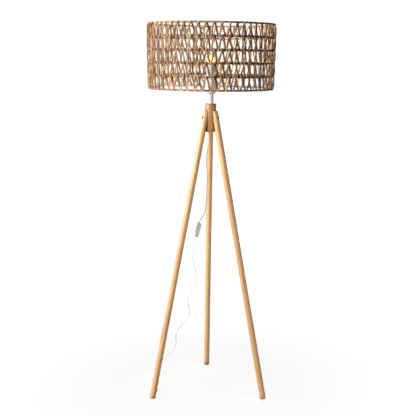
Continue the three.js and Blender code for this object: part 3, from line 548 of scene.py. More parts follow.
def wire(start, end, shares, radius, sides=16, taper=0.0):
    """Straight round wire, with rings at shares of its length, its ends rounded by taper."""
    start, end = np.array(start), np.array(end)
    length = np.linalg.norm(end - start)
    along = (end - start) / length
    normal = np.cross(along, [0.3, 0.5, 0.8])
    normal /= np.linalg.norm(normal)
    angles = np.arange(sides) * (TURN / sides)
    circle = np.outer(np.cos(angles), normal) + np.outer(np.sin(angles), np.cross(along, normal))
    rings = []
    for share in shares:
        inward = max(0.0, 1 - min(share, 1 - share) * length / taper) if taper else 0.0
        size = radius * math.sqrt(1 - inward**2) if inward < 1 else radius * 0.02
        rings.append(start + along * length * share + size * circle)
    return from_rings(rings)


def heights(node):
    """Lowest and highest level of a CAD node."""
    return [corner.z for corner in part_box(node)]


# Cord: one length from the grip under the hub, through the switch, to the hank and the plug

cord_diameter = 4 * MM
grip_end = heights("cord_grip")[0]
seat = 0.3 * MM


def frame_at(place, out, along):
    """A frame at a place, with Y outwards and Z along."""
    return moved(place) @ Matrix((out.cross(along), out, along)).transposed().to_4x4()


switch_length, switch_width, switch_depth = mm(58, 22, 17)
switch_top, switch_bottom = Vector((-0.0413, -0.020, 0.699)), Vector((-0.0562, -0.020, 0.6429))
switch_up = (switch_top - switch_bottom).normalized()
facing = polar(1, math.radians(223))
switch_out = (facing - switch_up * facing.dot(switch_up)).normalized()
switch_frame = frame_at((switch_top + switch_bottom) / 2, switch_out, switch_up)

plug_start = Vector((-0.2215, 0.078, 0.0077))
plug_forward = polar(1, math.radians(86))
plug_frame = frame_at(plug_start, UP, plug_forward)

# Points in millimetres: above the switch, below it, and between the hank and the plug
upper_route = [
    (-4, 0, 1006), (-10, -1, 987), (-12.7, -1.5, 966), (-12.8, -3.5, 933), (-8.5, -6, 891),
    (-9.5, -8.5, 850), (-11.6, -11, 807), (-13.6, -13.5, 770), (-17.5, -16, 745), (-27, -18, 724),
]
lower_route = [
    (-62, -18, 620), (-67, -15, 595), (-69, -13, 570), (-66, -10, 546), (-60, -6, 516),
    (-52, -2, 491), (-48, 2, 468), (-51, 5, 449), (-63, 9, 423), (-77, 14, 395),
    (-84, 17, 372), (-84, 21, 350), (-79, 26, 328), (-77, 30, 308), (-86, 34, 287),
    (-102, 38, 265), (-121, 43, 237), (-132, 49, 213), (-134, 56, 190), (-133, 63, 167),
    (-138, 70, 145), (-151, 75, 125), (-170, 80, 109), (-185, 83, 92), (-197, 82, 72),
    (-204, 75, 50), (-207.5, 63, 28), (-207.8, 48, 11), (-207, 34, 4),
]
tail_route = [(-230.2, 28, 19.5), (-228.5, 44, 15), (-225, 58, 10)]

hank_loops, hank_run, hank_radius = 4, 70 * MM, 12 * MM
hank_waist, hank_pitch = mm(2.5, 4.5)
hank_centre = Vector((-0.2186, -0.027, 0))
tie_thickness, tie_width = mm(0.8, 7)
hank_base = tie_thickness + 2 * seat + cord_diameter / 2
run_steps, bend_steps = 7, 5
half_loop = run_steps + bend_steps


def hank_point(step):
    """A loop is a run to the front, a turn, a run back that climbs, and a turn."""
    half, within = divmod(step, half_loop)
    loop, back = divmod(half, 2)
    share = min(within / run_steps, 1)
    if within <= run_steps:
        x = hank_radius - (hank_radius - hank_waist) * math.sin(math.pi * share) ** 2
        y = hank_run / 2 - hank_run * share
    else:
        angle = -math.pi * (within - run_steps) / bend_steps
        x, y = hank_radius * math.cos(angle), hank_radius * math.sin(angle) - hank_run / 2
    side = -1 if back else 1
    climb = back * (1 - math.cos(math.pi * share)) / 2
    return hank_centre + Vector((side * x, side * y, hank_base + hank_pitch * (loop + climb)))


lead, stub = switch_length / 2 + 2 * cord_diameter, switch_length / 2 + seat
hank = [hank_point(i) for i in range(2 * hank_loops * half_loop - bend_steps + 1)]
beside_hank = Vector((0, 2 * cord_diameter, 0))
cord_points = centripetal([
    UP * (grip_end - seat),
    UP * (grip_end - 2 * cord_diameter),
    *(np.array(upper_route) * MM),
    *[switch_frame @ (UP * z) for z in (lead, stub, -stub, -lead)],
    *(np.array(lower_route) * MM),
    hank[0] + beside_hank,
    *hank,
    hank[-1] + beside_hank,
    *(np.array(tail_route) * MM),
    *[plug_start + plug_forward * z for z in (-2 * cord_diameter, 0, 2 * MM)],
], 2.5 * MM)
cord_curve = bpy.data.curves.new("cord", "CURVE")
cord = put("mains_cord", cord_curve, dimensions="3D", bevel_depth=cord_diameter / 2,
           bevel_resolution=4, use_fill_caps=True)
cord_curve.materials.append(finishes["cord_sheath"])
spline = cord_curve.splines.new("POLY")
spline.points.add(len(cord_points) - 1)
spline.points.foreach_set("co", np.column_stack([cord_points, np.ones(len(cord_points))]).ravel())
spline.use_smooth = True
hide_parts("cord_upper", "cord_lower", "cord_hank", "cord_tail")
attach(cord, "stand")


# Stand: legs, bolts, hub and stem

# Each leg has its own wood; the back leg's lighter one is painted light
legs = {"back": (90, "wood_warm"), "front_left": (210, "wood_pale"),
        "front_right": (330, "wood_brown")}
leg_diameter, leg_top, foot_circle, leg_top_circle = mm(24, 1144.7, 257, 18.7)
leg_lean = math.atan((foot_circle - leg_top_circle) / leg_top)
foot_rounding, foot_lift = mm(4, 0.4)
bolt_height = leg_top - 28 * MM * math.cos(leg_lean)
bolt_head, bolt_head_height, bolt_shank = mm(10.5, 3.4, 6)
bolt_flat, bolt_tip, bolt_socket = 1.5 * MM, -leg_diameter / 2 - 5.5 * MM, 4.6 * MM
hub_radius, hub_edge, hub_collar, rod_radius = mm(22, 1.68, 28, 5)
outwards = rotated(QUARTER, "Y")


def leaned(azimuth, height):
    """The leg's own frame at a height: Z along the leg, X outwards."""
    radius = foot_circle - height * math.tan(leg_lean)
    return (
        rotated(math.radians(azimuth), "Z")
        @ moved((radius, 0, height))
        @ rotated(-leg_lean, "Y")
    )


def leg_blank(radius, sides=64):
    length = (leg_top + leg_diameter) / math.cos(leg_lean)
    foot = arc(radius - foot_rounding, foot_rounding, foot_rounding, -QUARTER, 0, 7)
    return turned([(0, 0), *foot, (radius, length), (0, length)], sides)


def sliced(mesh, matrix, height, upwards):
    """Cuts the mesh at a level height of the lamp, and keeps what is above it, or below."""
    inverse = matrix.inverted()
    normal = (inverse.to_3x3() @ (-UP if upwards else UP)).normalized()
    with editing(mesh) as work:
        bmesh.ops.remove_doubles(work, verts=work.verts, dist=weld)
        cut = bmesh.ops.bisect_plane(
            work, geom=[*work.verts, *work.edges, *work.faces], plane_co=inverse @ (UP * height),
            plane_no=normal, clear_outer=True, dist=1e-7,
        )
        rim = [item for item in cut["geom_cut"] if isinstance(item, bmesh.types.BMEdge)]
        bmesh.ops.contextual_create(work, geom=rim)
    return mesh


def leg_bolt():
    """Button-head bolt with a hexagon socket, in a frame on the leg's axis."""
    radius, shank = bolt_head / 2, bolt_shank / 2
    base = leg_diameter / 2 - bolt_flat + seat
    top = base + bolt_head_height
    crown = arc(0, top - radius, radius, math.radians(38), QUARTER, 8)
    crown[-1] = (0, top)
    profile = soften([
        (0, bolt_tip), (shank, bolt_tip), (shank, base), (radius, base), (radius, base + MM),
        crown[0],
    ], 0.3 * MM)
    head = turned([*profile[:-1], *crown], 40)
    return carve(head, tool(prism(6, bolt_socket, top - 2 * MM, top + 4 * MM)))


for side, (azimuth, timber) in legs.items():
    matrix = leaned(azimuth, foot_lift)
    mesh = sliced(leg_blank(leg_diameter / 2), matrix, 0, True)
    sliced(mesh, matrix, leg_top, False)
    at_bolt = leaned(azimuth, bolt_height) @ outwards
    flat = bar(bolt_head / 2 + seat, leg_diameter / 2 - bolt_flat, leg_diameter, 40)
    bore = bar(bolt_shank / 2 + seat, -leg_diameter, leg_diameter)
    mesh = carve(mesh, tool(flat, at_bolt), tool(bore, at_bolt), matrix=matrix)
    add(f"pole_leg_{side}", mesh, timber, [f"leg_{side}"], matrix)
    add(f"bolt_{side}", leg_bolt(), "dark_steel", [f"leg_bolt_{side}"], at_bolt)

low, high = heights("hub")
profile = soften(wall_profile(rod_radius + seat, hub_radius, low, high), hub_edge, True, 5)
grooves = []
for azimuth, _ in legs.values():
    matrix = leaned(azimuth, foot_lift)
    groove = leg_blank(leg_diameter / 2 + seat, 80)
    grooves.append(tool(sliced(groove, matrix, high - hub_collar, False), matrix))
mesh = carve(turned(profile, 96, True), *grooves)
add("turned_hub", mesh, "wood_hub", ["hub"], sharp=30)


def nut(node, name):
    """Hexagon nut with chamfered corners."""
    low, high = heights(node)
    width, chamfer = 13 * MM, 0.7 * MM
    corner = width / math.sqrt(3)
    flat = corner - chamfer * 1.6
    dished = [
        (0, low), (flat, low), (corner, low + chamfer), (corner, high - chamfer), (flat, high),
        (0, high),
    ]
    cone = tool(turned(dished))
    mesh = carve(prism(6, width, low, high), cone, operation="INTERSECT")
    bore = tool(bar(rod_radius + seat / 2, low - MM, high + MM))
    add(name, carve(mesh, bore), "zinc", [node])


nut("hub_nut", "nut_under_hub")
nut("lampholder_nut", "nut_in_lampholder")


def stem_piece(node, name, profile, finish="white_plastic", edge=0.4, closed=False, sides=72,
               relief=None, dense=None, body="stand", sharp=35):
    """A turned piece: softened profile, its edge in millimetres, with the relief it may have."""
    profile = soften(profile, edge * MM, closed)
    if dense:
        profile = densify(profile, *dense)
    mesh = turned(profile, sides, closed, relief)
    add(name, mesh, finish, [node], body=body, sharp=sharp)


low, high = heights("pole")
outer, wall = mm(11, 1.5)
stem_piece("pole", "stem_tube", wall_profile(outer - wall, outer, low, high), "white_metal", 0.5,
           True, 56)

low, high = heights("threaded_rod")
bore = 2.6 * MM
stem_piece("threaded_rod", "rod_through_hub", wall_profile(bore, rod_radius, low, high), "zinc",
           0.3, True, 32, thread(rod_radius, low, high, 1.0 * MM, 0.5 * MM),
           (0.25 * MM, low, high))

low, high = heights("cord_grip")
foot, top, flange, rib_depth = mm(2.8, 4.2, 5.5, 0.42)
collar = high - 4 * MM
ribs = []
for i in range(5):
    start, end = (i + 0.15) / 5.4, (i + 0.72) / 5.4
    for t, dip in ((start, 1), (start + 0.02, 0), (end, 0), (end + 0.02, 1)):
        ribs.append((foot + (top - foot) * t - dip * rib_depth, low + (collar - low) * t))
stem_piece("cord_grip", "ribbed_grip", [
    (0, low), (2.4 * MM, low), *ribs, (top, collar), (flange, collar), (flange, high), (0, high),
], edge=0.3, sides=40)


# Lampholder, shade ring and bulb

low, high = heights("lampholder_cap")
outer, neck, wall, groove = mm(20, 8.5, 2.2, 0.5)
rise, groove_at = outer - neck, high - 5 * MM
stem_piece("lampholder_cap", "holder_cap", [
    (rod_radius + seat, low), *arc(neck, low + rise, rise, -QUARTER, 0, 14),
    (outer, groove_at - groove), (outer - groove, groove_at), (outer, groove_at + groove),
    (outer, high), (outer - wall, high),
    *arc(neck, low + rise, rise - wall, 0, -QUARTER, 14), (rod_radius + seat, low + wall),
], edge=0.35, closed=True)

low, high = heights("lampholder_body")
outer, inner, mouth, lip = mm(19.5, 17.6, 14.6, 2)
shoulder, ledge = 22 * MM, low + 3 * MM
thread_low = ledge + 0.4 * MM
stem_piece("lampholder_body", "holder_body", [
    (inner, low), (shoulder, low), (shoulder, ledge), (outer, ledge), (outer, high),
    (mouth, high), (mouth, high - lip), (inner, high - lip),
], closed=True, relief=thread(outer, thread_low, high - 6 * MM, 2.6 * MM, 0.7 * MM),
    dense=(0.5 * MM, thread_low, high))

low, high = heights("lampholder_sleeve")
bore, wall = mm(13.7, 0.6)
stem_piece("lampholder_sleeve", "threaded_sleeve", wall_profile(bore, bore + wall, low, high),
           "zinc", 0.15, True, relief=thread(None, low, high, 3.6 * MM, 0.35 * MM),
           dense=(0.4 * MM, low, high))


def flutes(angles, height):
    """Depth of the grip flutes on the collar of the retaining ring."""
    return 0.55 * MM * np.maximum(0, np.cos(32 * angles)) ** 2


low, high = heights("shade_ring")
inner, flange, collar = mm(19.8, 27.5, 23)
ledge = low + 2.4 * MM
grip_low = ledge + 0.8 * MM
stem_piece("shade_ring", "retaining_ring", [
    (inner, low), (flange, low), (flange, ledge), (collar, ledge), (collar, high), (inner, high),
], closed=True, sides=192, relief=on_wall(collar, grip_low, high - 0.5 * MM, flutes),
    dense=(0.6 * MM, grip_low, high), body="ring")

low, high = heights("bulb_dome")
dome_radius, dome_wall = mm(30, 1.4)
centre = high - dome_radius
start = math.asin((low - centre) / dome_radius)
outside = arc(0, centre, dome_radius, start, QUARTER, 28)
inside = arc(0, centre, dome_radius - dome_wall, QUARTER, start, 28)
pole_points = [(1e-6, high), (1e-6, high - dome_wall)]
mesh = turned([*outside[:-1], *pole_points, *inside[1:]], 72, True)
add("opal_dome", mesh, "opal", ["bulb_dome"], body="bulb", sharp=50)

board_top = heights("bulb_board")[1]
source_height = high - dome_wall - board_top - 3 * MM


def diffuser(name, radius, height, foot):
    """Domed part of the light source, standing on the board."""
    waist = foot + 0.6 * height
    crown = arc(0, waist, radius, 0, QUARTER, 10, foot + height - waist)[:-1]
    profile = [(0, foot), (radius * 0.8, foot), *crown, (0, foot + height)]
    add(name, turned(profile, 40), name, body="bulb", sharp=60)


diffuser("light_veil", 14 * MM, source_height, board_top + 0.1 * MM)
diffuser("light_core", 10.5 * MM, source_height - 3 * MM, board_top + 0.2 * MM)

low, high = heights("bulb_housing")
cap_low, cap_high = heights("bulb_screw_cap")
wide, wall, cap_radius = mm(29.3, 2.8, 13.2)
neck_top, board_seat = cap_high + seat, high - 1.9 * MM
swell = [
    (cap_radius + (wide - cap_radius) * share, neck_top + (high - neck_top) * i / 8)
    for i, share in enumerate([0, 0.1, 0.26, 0.46, 0.65, 0.81, 0.92, 0.98, 1])
]
stem_piece("bulb_housing", "bulb_case", [
    (0, low), (cap_radius - MM, low), (cap_radius - MM, neck_top), *swell,
    (wide - wall, high), (wide - wall, board_seat), (0, board_seat),
], edge=1.2, body="bulb", sharp=50)

mouth, taper, wall, root = 5.5 * MM, 2 * MM, 0.7 * MM, cap_radius - 1.7 * MM
thread_low, thread_high = cap_low + taper, cap_high - 3 * MM
stem_piece("bulb_screw_cap", "bulb_thread", [
    (mouth, cap_low), (cap_radius - taper, cap_low), (cap_radius, thread_low),
    (cap_radius, cap_high), (cap_radius - wall, cap_high), (root, cap_high - wall),
    (root, thread_low + wall), (mouth, cap_low + wall),
], "zinc", 0.3, True, relief=thread(cap_radius, thread_low, thread_high, 3.6 * MM, 1.3 * MM),
    dense=(0.45 * MM, thread_low, thread_high), body="bulb")

low, high = heights("bulb_insulator")
stem_piece("bulb_insulator", "glass_insulator", [
    (0, low), (4.8 * MM, low), (7.2 * MM, low + 1.6 * MM), (8.8 * MM, high), (0, high),
], "black_glass", 0.8, sides=48, body="bulb")
low, high = heights("bulb_tip")
stem_piece("bulb_tip", "contact_tip", [
    (0, low), (1.6 * MM, low + 0.1 * MM), (3.4 * MM, low + 0.6 * MM), (4.5 * MM, high), (0, high),
], "brass", 0.5, sides=40, body="bulb")


# Shade: hoops, stays, spider and the wound cord

row_count, turn_count = 5, 54
hoop_wire, stay_wire, arm_wire = mm(6, 3, 4)
inner_binding, rim_binding = mm(6.5, 7.4)
hoop_half = hoop_wire / 4 * math.sqrt(math.pi)
hoop_sag, arm_drop = mm(0.2, 7)
arm_angles = [TURN / 12 + TURN * i / 3 for i in range(3)]
turn_angle = TURN / turn_count
winding_start = arm_angles[0] - turn_angle / 4
hoops = []
for i in range(row_count + 1):
    low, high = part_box(f"shade_hoop_{i + 1}")
    hoops.append(((high.y - low.y) / 2 - hoop_half - hoop_sag, (high.z + low.z) / 2))


def is_rim(hoop):
    return hoop in (0, row_count)


def bound_hoop(radius, height, binding, seed):
    """Wire hoop bound with a paper ribbon, whose turns overlap like scales."""
    rng = random.Random(seed)
    ribbon, lap = 9 * MM, 0.35 * MM
    turns = round(TURN * radius / ribbon)
    steps, sides = 6, 14
    around = np.arange(turns * steps) * (TURN / (turns * steps))
    section = np.arange(sides) * (TURN / sides)
    uneven = np.array([rng.uniform(0.6, 1) for _ in range(turns)])
    shares = around[:, None] / (TURN / turns) + section[None, :] / TURN
    size = binding / 2 - lap * (shares % 1) * uneven[np.floor(shares).astype(int) % turns]
    reach = radius + size * np.cos(section)
    x, y = reach * np.cos(around)[:, None], reach * np.sin(around)[:, None]
    run = np.arange(len(around) + 1) * (TURN * radius / len(around))
    return from_rings(np.stack([x, y, height + size * np.sin(section)], -1), True, run)


for i, (radius, height) in enumerate(hoops):
    # Inner hoops take the binding darkened as painted shade; the rims take the partly darkened one
    binding, finish = (rim_binding, "binding") if is_rim(i) else (inner_binding, "painted_shade_binding")
    mesh = bound_hoop(radius, height, binding, 40 + i)
    node = f"shade_hoop_{i + 1}"
    add(f"hoop_{i + 1}", mesh, finish, [node], body="shade", sharp=80)

(low_radius, low_height), (top_radius, top_height) = hoops[0], hoops[-1]
inset = inner_binding / 2 + stay_wire / 2 + 0.1 * MM
steps = [*np.linspace(0, 0.008, 7), *np.linspace(0.012, 0.988, 9), *np.linspace(0.992, 1, 7)]
for i, angle in enumerate(arm_angles, 1):
    foot = polar(low_radius - inset, angle, heights(f"shade_stay_{i}")[0])
    head = polar(top_radius - inset, angle, top_height + hoop_wire / 3)
    mesh = wire(foot, head, steps, stay_wire / 2, 16, stay_wire / 2)
    add(f"stay_{i}", mesh, "brown_wire", [f"shade_stay_{i}"], body="shade", sharp=60)

spider_top = heights("shade_spider")[1]
bore, rim, thickness = mm(20.2, 30.3, 2)
plate = soften(wall_profile(bore, rim, spider_top - thickness, spider_top), 0.45 * MM, True)
arm_height = spider_top - arm_wire / 2
arm_reach = low_radius - hoop_wire / 2 + 0.3 * MM
arms = []
for angle in arm_angles:
    start = polar(rim - 1.6 * MM, angle, arm_height)
    end = polar(arm_reach, angle, arm_height - arm_drop)
    arms.append(tool(wire(start, end, np.linspace(0, 1, 12), arm_wire / 2, 18)))
mesh = carve(turned(plate, 96, True), *arms, operation="UNION")
add("spider", mesh, "white_metal", ["shade_spider"], body="shade", sharp=40)

ply_radius, ply_offset, ply_sides = 1.7 * MM, 1.55 * MM, 9
rope_radius = ply_radius + ply_offset
twist_pitch = 13 * MM
free_section, rim_section, inner_section = (0.86, 1.37), (0.16, 1.55), (0.42, 1.45)
rim_bite = 0.55 * MM
rope_bulge, grip_reach = mm(0.9, 15)
samples_per_turn = 44
row_samples = turn_count * samples_per_turn


def grip(hoop):
    """How the cord lies round a hoop: the reach of its centre line, and its section there."""
    if is_rim(hoop):
        return rim_binding / 2 - rim_bite + rim_section[0] * rope_radius, rim_section
    return inner_binding / 2 + inner_section[0] * rope_radius, inner_section


def wander(rng, count, size):
    """Smooth closed run of random values through count knots, sampled along the whole row."""
    knots = np.array([rng.uniform(-size, size) for _ in range(count)])
    at = np.arange(row_samples) * (count / row_samples)
    left = at.astype(int)
    share = (1 - np.cos(math.pi * (at - left))) / 2
    return knots[left % count] * (1 - share) + knots[(left + 1) % count] * share


def winding(row):
    """Centre line, outward direction, section and turn length of a row's cord round its hoops."""
    (low_radius, low_height), (high_radius, high_height) = hoops[row], hoops[row + 1]
    (low_wrap, low_section), (high_wrap, high_section) = grip(row), grip(row + 1)
    rng = random.Random(100 + row)
    span = high_height - low_height
    # A turn goes up outside the hoops, over the upper one, down inside and under the lower one
    ends = np.cumsum([0, span, math.pi * high_wrap, span, math.pi * low_wrap])
    turn_length = ends[-1]
    along = np.arange(row_samples) / samples_per_turn * turn_length
    start = winding_start + turn_angle * (math.pi * low_wrap / 2) / turn_length
    share = np.interp(along % turn_length, ends, [0, 1, 1, 0, 0])
    tilt = np.interp(along % turn_length, ends, [0, 0, math.pi, math.pi, TURN])
    wrap = low_wrap + (high_wrap - low_wrap) * share
    radius = low_radius + (high_radius - low_radius) * share
    height = low_height + span * share + wrap * np.sin(tilt)
    away = wrap * np.cos(tilt)
    free = np.clip((span / 2 - np.abs(height - low_height - span / 2)) / grip_reach, 0, 1)
    free = free * free * (3 - 2 * free)
    away += np.sign(away) * free * (rope_bulge + wander(rng, 2 * turn_count, 0.5 * MM))
    sideways = wander(rng, 2 * turn_count, 1.5 * MM)
    sideways += free * wander(rng, 3 * turn_count, 3.5 * MM)
    angle = start + turn_angle * along / turn_length + sideways / radius
    radial = np.stack([np.cos(angle), np.sin(angle), 0 * angle], -1)
    centre = radial * (radius + away)[:, None] + np.outer(height, UP)
    outward = radial * np.cos(tilt)[:, None] + np.outer(np.sin(tilt), UP)
    gripped = [low + (high - low) * share for low, high in zip(low_section, high_section)]
    section = [part + (loose - part) * free for part, loose in zip(gripped, free_section)]
    return centre, outward, section, turn_length, rng


def wound_row(row):
    """Two plies twisted round the winding's centre line, pressed flat where they grip a hoop."""
    centre, outward, section, turn_length, rng = winding(row)
    tangent = unit(np.roll(centre, -1, 0) - np.roll(centre, 1, 0))
    outward = unit(outward - tangent * np.sum(outward * tangent, 1)[:, None])
    side = np.cross(tangent, outward) * section[1][:, None]
    outward = outward * section[0][:, None]
    length = turn_length * turn_count
    run = np.arange(row_samples + 1) / row_samples * length
    wobble = wander(rng, 4 * turn_count, 0.35)
    twist = TURN * round(length / twist_pitch) * np.arange(row_samples) / row_samples + wobble
    thickness = 1 + wander(rng, 6 * turn_count, 0.06)[:, None]
    around = np.arange(ply_sides) * (TURN / ply_sides)
    plies = []
    for turn in (twist, twist + math.pi):
        across = outward * np.cos(turn)[:, None] + side * np.sin(turn)[:, None]
        middle = centre + across * (ply_offset * thickness)
        spin = (around + turn[:, None])[:, :, None]
        circle = outward[:, None] * np.cos(spin) + side[:, None] * np.sin(spin)
        ring = middle[:, None] + (ply_radius * thickness)[:, None] * circle
        plies.append(from_rings(ring, True, run))
    first, second = plies
    with editing(first) as work:
        work.from_mesh(second)
    bpy.data.meshes.remove(second)
    first.shade_smooth()
    return first


for row in range(row_count):
    node = f"shade_row_{row + 1}"
    add(f"wound_cord_{row + 1}", wound_row(row), "rope", [node], body="shade", sharp=0)


# Switch, plug and tie on the cord

def outline(width, length, corner, steps=8):
    """Rounded rectangle, anticlockwise."""
    points = []
    for i, (sx, sy) in enumerate([(1, -1), (1, 1), (-1, 1), (-1, -1)]):
        middle = Vector((sx * (width / 2 - corner), sy * (length / 2 - corner)))
        for step in range(steps + 1):
            angle = QUARTER * (i - 1 + step / steps)
            points.append(middle + corner * polar(1, angle).xy)
    return points


rocker_length, rocker_width, rocker_thickness = mm(20, 9, 6)
rocker_gap, rocker_rise, rocker_tilt = 0.8 * MM, 1.2 * MM, math.radians(8)
screw_spacing, screw_head = mm(38, 5)
face = switch_depth / 2
to_back = rotated(QUARTER, "X")


def housing_half():
    """Half of the switch housing, from the split at Y = 0 to its crowned face."""
    edge, split = 2.6 * MM, 0.35 * MM
    levels = [(-split, seat / 2), (0.0, seat / 2 + split)]
    levels += arc(-edge, face - edge, edge, 0, QUARTER, 8)
    rings = []
    for grow, height in levels:
        loop = outline(switch_width + 2 * grow, switch_length + 2 * grow, 7 * MM + grow * 0.7)
        rings.append([(p.x, height, p.y) for p in reversed(loop)])
    return from_rings(rings)


def passage():
    """Cutter for the cord's way through the switch."""
    return tool(bar(cord_diameter / 2 + 0.35 * MM, -switch_length, switch_length, 28))


def at_screw(mesh, side):
    """Turns a mesh to the back of the switch, at one of its screws."""
    mesh.transform(moved((0, 0, side * screw_spacing / 2)) @ to_back)
    return mesh


window_size = (rocker_width + 2 * rocker_gap, 2 * face, rocker_length + 2 * rocker_gap)
window = tool(slab(window_size, (0, face, 0), 0.6 * MM))
recess = tool(slab((13.5 * MM, 1.0 * MM, 25 * MM), (0, face, 0), 0.4 * MM))
mesh = carve(housing_half(), window, recess, passage())
add("switch_front", mesh, "white_plastic", ["switch_face"], switch_frame, sharp=30)

back = housing_half()
back.transform(rotated(math.pi, "Z"))
wells = [
    tool(at_screw(bar(screw_head / 2 + 0.4 * MM, face - 1.9 * MM, face + MM), side))
    for side in (-1, 1)
]
mesh = carve(back, passage(), *wells)
add("switch_rear", mesh, "white_plastic", ["switch_back"], switch_frame, sharp=30)

head, shank, head_base = screw_head / 2, 1.3 * MM, face - 1.6 * MM
slot_length, slot_width = mm(3.2, 0.7)
for side, end in ((1, "top"), (-1, "bottom")):
    profile = soften([
        (0, -face / 2), (shank, -face / 2), (shank, head_base), (head, head_base),
        (head, face - 0.5 * MM), (0, face),
    ], 0.35 * MM)
    slots = [
        tool(slab((*size, 2 * MM), (0, 0, face)))
        for size in ((slot_length, slot_width), (slot_width, slot_length))
    ]
    mesh = at_screw(carve(turned(profile, 32), *slots), side)
    add(f"housing_screw_{end}", mesh, "zinc", [f"switch_screw_{end}"], switch_frame)


def rocker_mesh():
    """Two faces that meet at a shallow angle over a round belly, on a pin."""
    half, belly, edge = rocker_length / 2, -rocker_thickness / 2, 0.7 * MM
    top = rocker_thickness / 2 + rocker_rise
    dip = top - half * math.tan(rocker_tilt)
    loop = [(-half, -1 * MM), (-half / 2, belly), (half / 2, belly), (half, -1 * MM)]
    loop += [
        (half * t, dip + abs(t) ** 1.12 * (top - dip)) for t in 1 - 2 * np.linspace(0, 1, 13)
    ]
    rings = []
    for x, inset in ((-1, 0.5), (-0.93, 0.15), (-0.86, 0), (0.86, 0), (0.93, 0.15), (1, 0.5)):
        keep = inset * edge
        rings.append([
            (x * rocker_width / 2, y - math.copysign(keep, y), z * (1 - keep / half))
            for z, y in loop
        ])
    pin = bar(1 * MM, -6.5 * MM, 6.5 * MM, 20)
    pin.transform(outwards)
    return carve(from_rings(rings), tool(pin), operation="UNION")


rocker_frame = (
    switch_frame
    @ moved((0, face - rocker_thickness / 2, 0))
    @ rotated(rocker_tilt, "X")
)
add("rocker_key", rocker_mesh(), "white_plastic", ["switch_rocker"], rocker_frame, "rocker",
    sharp=40)

mark_height = rocker_thickness / 2 + rocker_rise - rocker_length / 4 * math.tan(rocker_tilt)
mark_on = slab((0.7 * MM, 0.3 * MM, 3.6 * MM), (0, 0, 0), 0.12 * MM)
ring = soften(wall_profile(1.1 * MM, 1.7 * MM, -0.15 * MM, 0.15 * MM), 0.1 * MM, True)
mark_off = turned(ring, 40, True)
mark_off.transform(to_back)
for name, mesh, side in (("mark_on", mark_on, 1), ("mark_off", mark_off, -1)):
    slope = rotated(side * rocker_tilt, "X")
    mesh.transform(moved((0, mark_height, side * rocker_length / 4)) @ slope)
    add(name, mesh, "switch_mark", (), rocker_frame, "rocker")


def squarish(width, depth, height, softness=0.62, facets=40):
    """Ring of a rounded bar."""
    def eased(value):
        return math.copysign(abs(value) ** softness, value)

    angles = [TURN * (i + 0.5) / facets for i in range(facets)]
    return [(eased(math.cos(a)) * width, eased(math.sin(a)) * depth, height) for a in angles]


plug_length, plug_width, plug_depth = mm(30, 24, 15)
relief_length, relief_end, relief_start, relief_ribs = 22 * MM, 6 * MM, 10 * MM, 5
stations = [(0.0, relief_end / 2 - 0.4 * MM), (0.4 * MM, relief_end / 2)]
for i in range(relief_ribs):
    for share, dip in ((0.08, 0), (0.5, 0), (0.56, 0.7), (0.94, 0.7)):
        t = (i + share) / (relief_ribs + 0.6)
        radius = relief_end / 2 + (relief_start - relief_end) / 2 * t - dip * MM
        stations.append((relief_length * t, radius))
stations.append((relief_length * 0.97, relief_start / 2))
rings = [squarish(radius, radius, z, 1.0) for z, radius in stations]
w, d, edge, end = plug_width / 2, plug_depth / 2, plug_depth / 10, relief_length + plug_length
shoulder = [(0.0, 0.5, 0.55), (0.5, 0.68, 0.76), (1.5, 0.84, 0.9), (3, 0.95, 0.97), (4.5, 1, 1)]
for at, wide, deep in shoulder:
    z = relief_length + at * MM
    rings.append(squarish(w * wide, d * deep, z, 0.8 if at < 1 else 0.66))
for i in range(4):
    at = relief_length + (8.5 + 3.4 * i) * MM
    for z, dip in ((0, 0), (0.45, 0.55), (1.35, 0.55), (1.8, 0)):
        rings.append(squarish(w - dip * MM, d - dip * MM * 0.4, at + z * MM))
for inset, short in ((0, 1), (0.3, 0.4), (1, 0)):
    rings.append(squarish(w - inset * edge, d - inset * edge, end - short * edge))

blade_width, blade_thickness, blade_length = mm(6.3, 1.5, 17)
blade_spacing, blade_root, blade_gap = mm(12.7, 8, 0.5)
sockets = [
    tool(slab((blade_thickness + blade_gap, blade_width + blade_gap, 2 * MM),
              (side * blade_spacing / 2, 0, end), 0.2 * MM))
    for side in (-1, 1)
]
mesh = carve(from_rings(rings), *sockets)
add("plug_shell", mesh, "white_plastic", ["plug_body"], plug_frame, sharp=32)
low, high = end - blade_root, end + blade_length
for side, word in ((-1, "left"), (1, "right")):
    middle = side * blade_spacing / 2
    size = (blade_thickness, blade_width, high - low)
    blade = slab(size, (middle, 0, (low + high) / 2), 0.35 * MM, 3)
    for vertex in blade.vertices:
        if vertex.co.z > high - 1.2 * MM:
            vertex.co.x = middle + (vertex.co.x - middle) * 0.55
            vertex.co.y *= 0.86
    hole = bar(1.5 * MM, -4 * MM, 4 * MM, 28)
    hole.transform(moved((middle, 0, high - 4.2 * MM)) @ outwards)
    mesh = carve(blade, tool(hole))
    add(f"blade_{word}", mesh, "brass", [f"plug_blade_{word}"], plug_frame)

clear = cord_diameter / 2 + seat + tie_thickness / 2
tie_low = hank_base - clear
tie_high = hank_base + hank_pitch * (hank_loops - 0.5) + clear
band = outline(2 * (hank_waist + clear), tie_high - tie_low, 2.2 * MM, 6)
middle = Vector((0, (tie_high + tie_low) / 2))
thick, wide = tie_thickness / 2, tie_width / 2
section = soften(wall_profile(-thick, thick, -wide, wide), 0.25 * MM, True, 3)
rings = []
for i, point in enumerate(band):
    before, after = band[i - 1], band[(i + 1) % len(band)]
    out = Vector((after.y - before.y, before.x - after.x)).normalized()
    spots = [(point + middle + out * off, along) for off, along in section]
    rings.append([(hank_centre.x + p.x, hank_centre.y + along, p.y) for p, along in spots])
mesh = from_rings(rings, True)
add("tie_band", mesh, "cord_sheath", ["cord_tie"], sharp=40)
tongue_size = (3.2 * MM, tie_width * 0.8, 0.9 * MM)
tongue = slab(tongue_size, (hank_centre.x, hank_centre.y, tie_high + 0.7 * MM), 0.3 * MM)
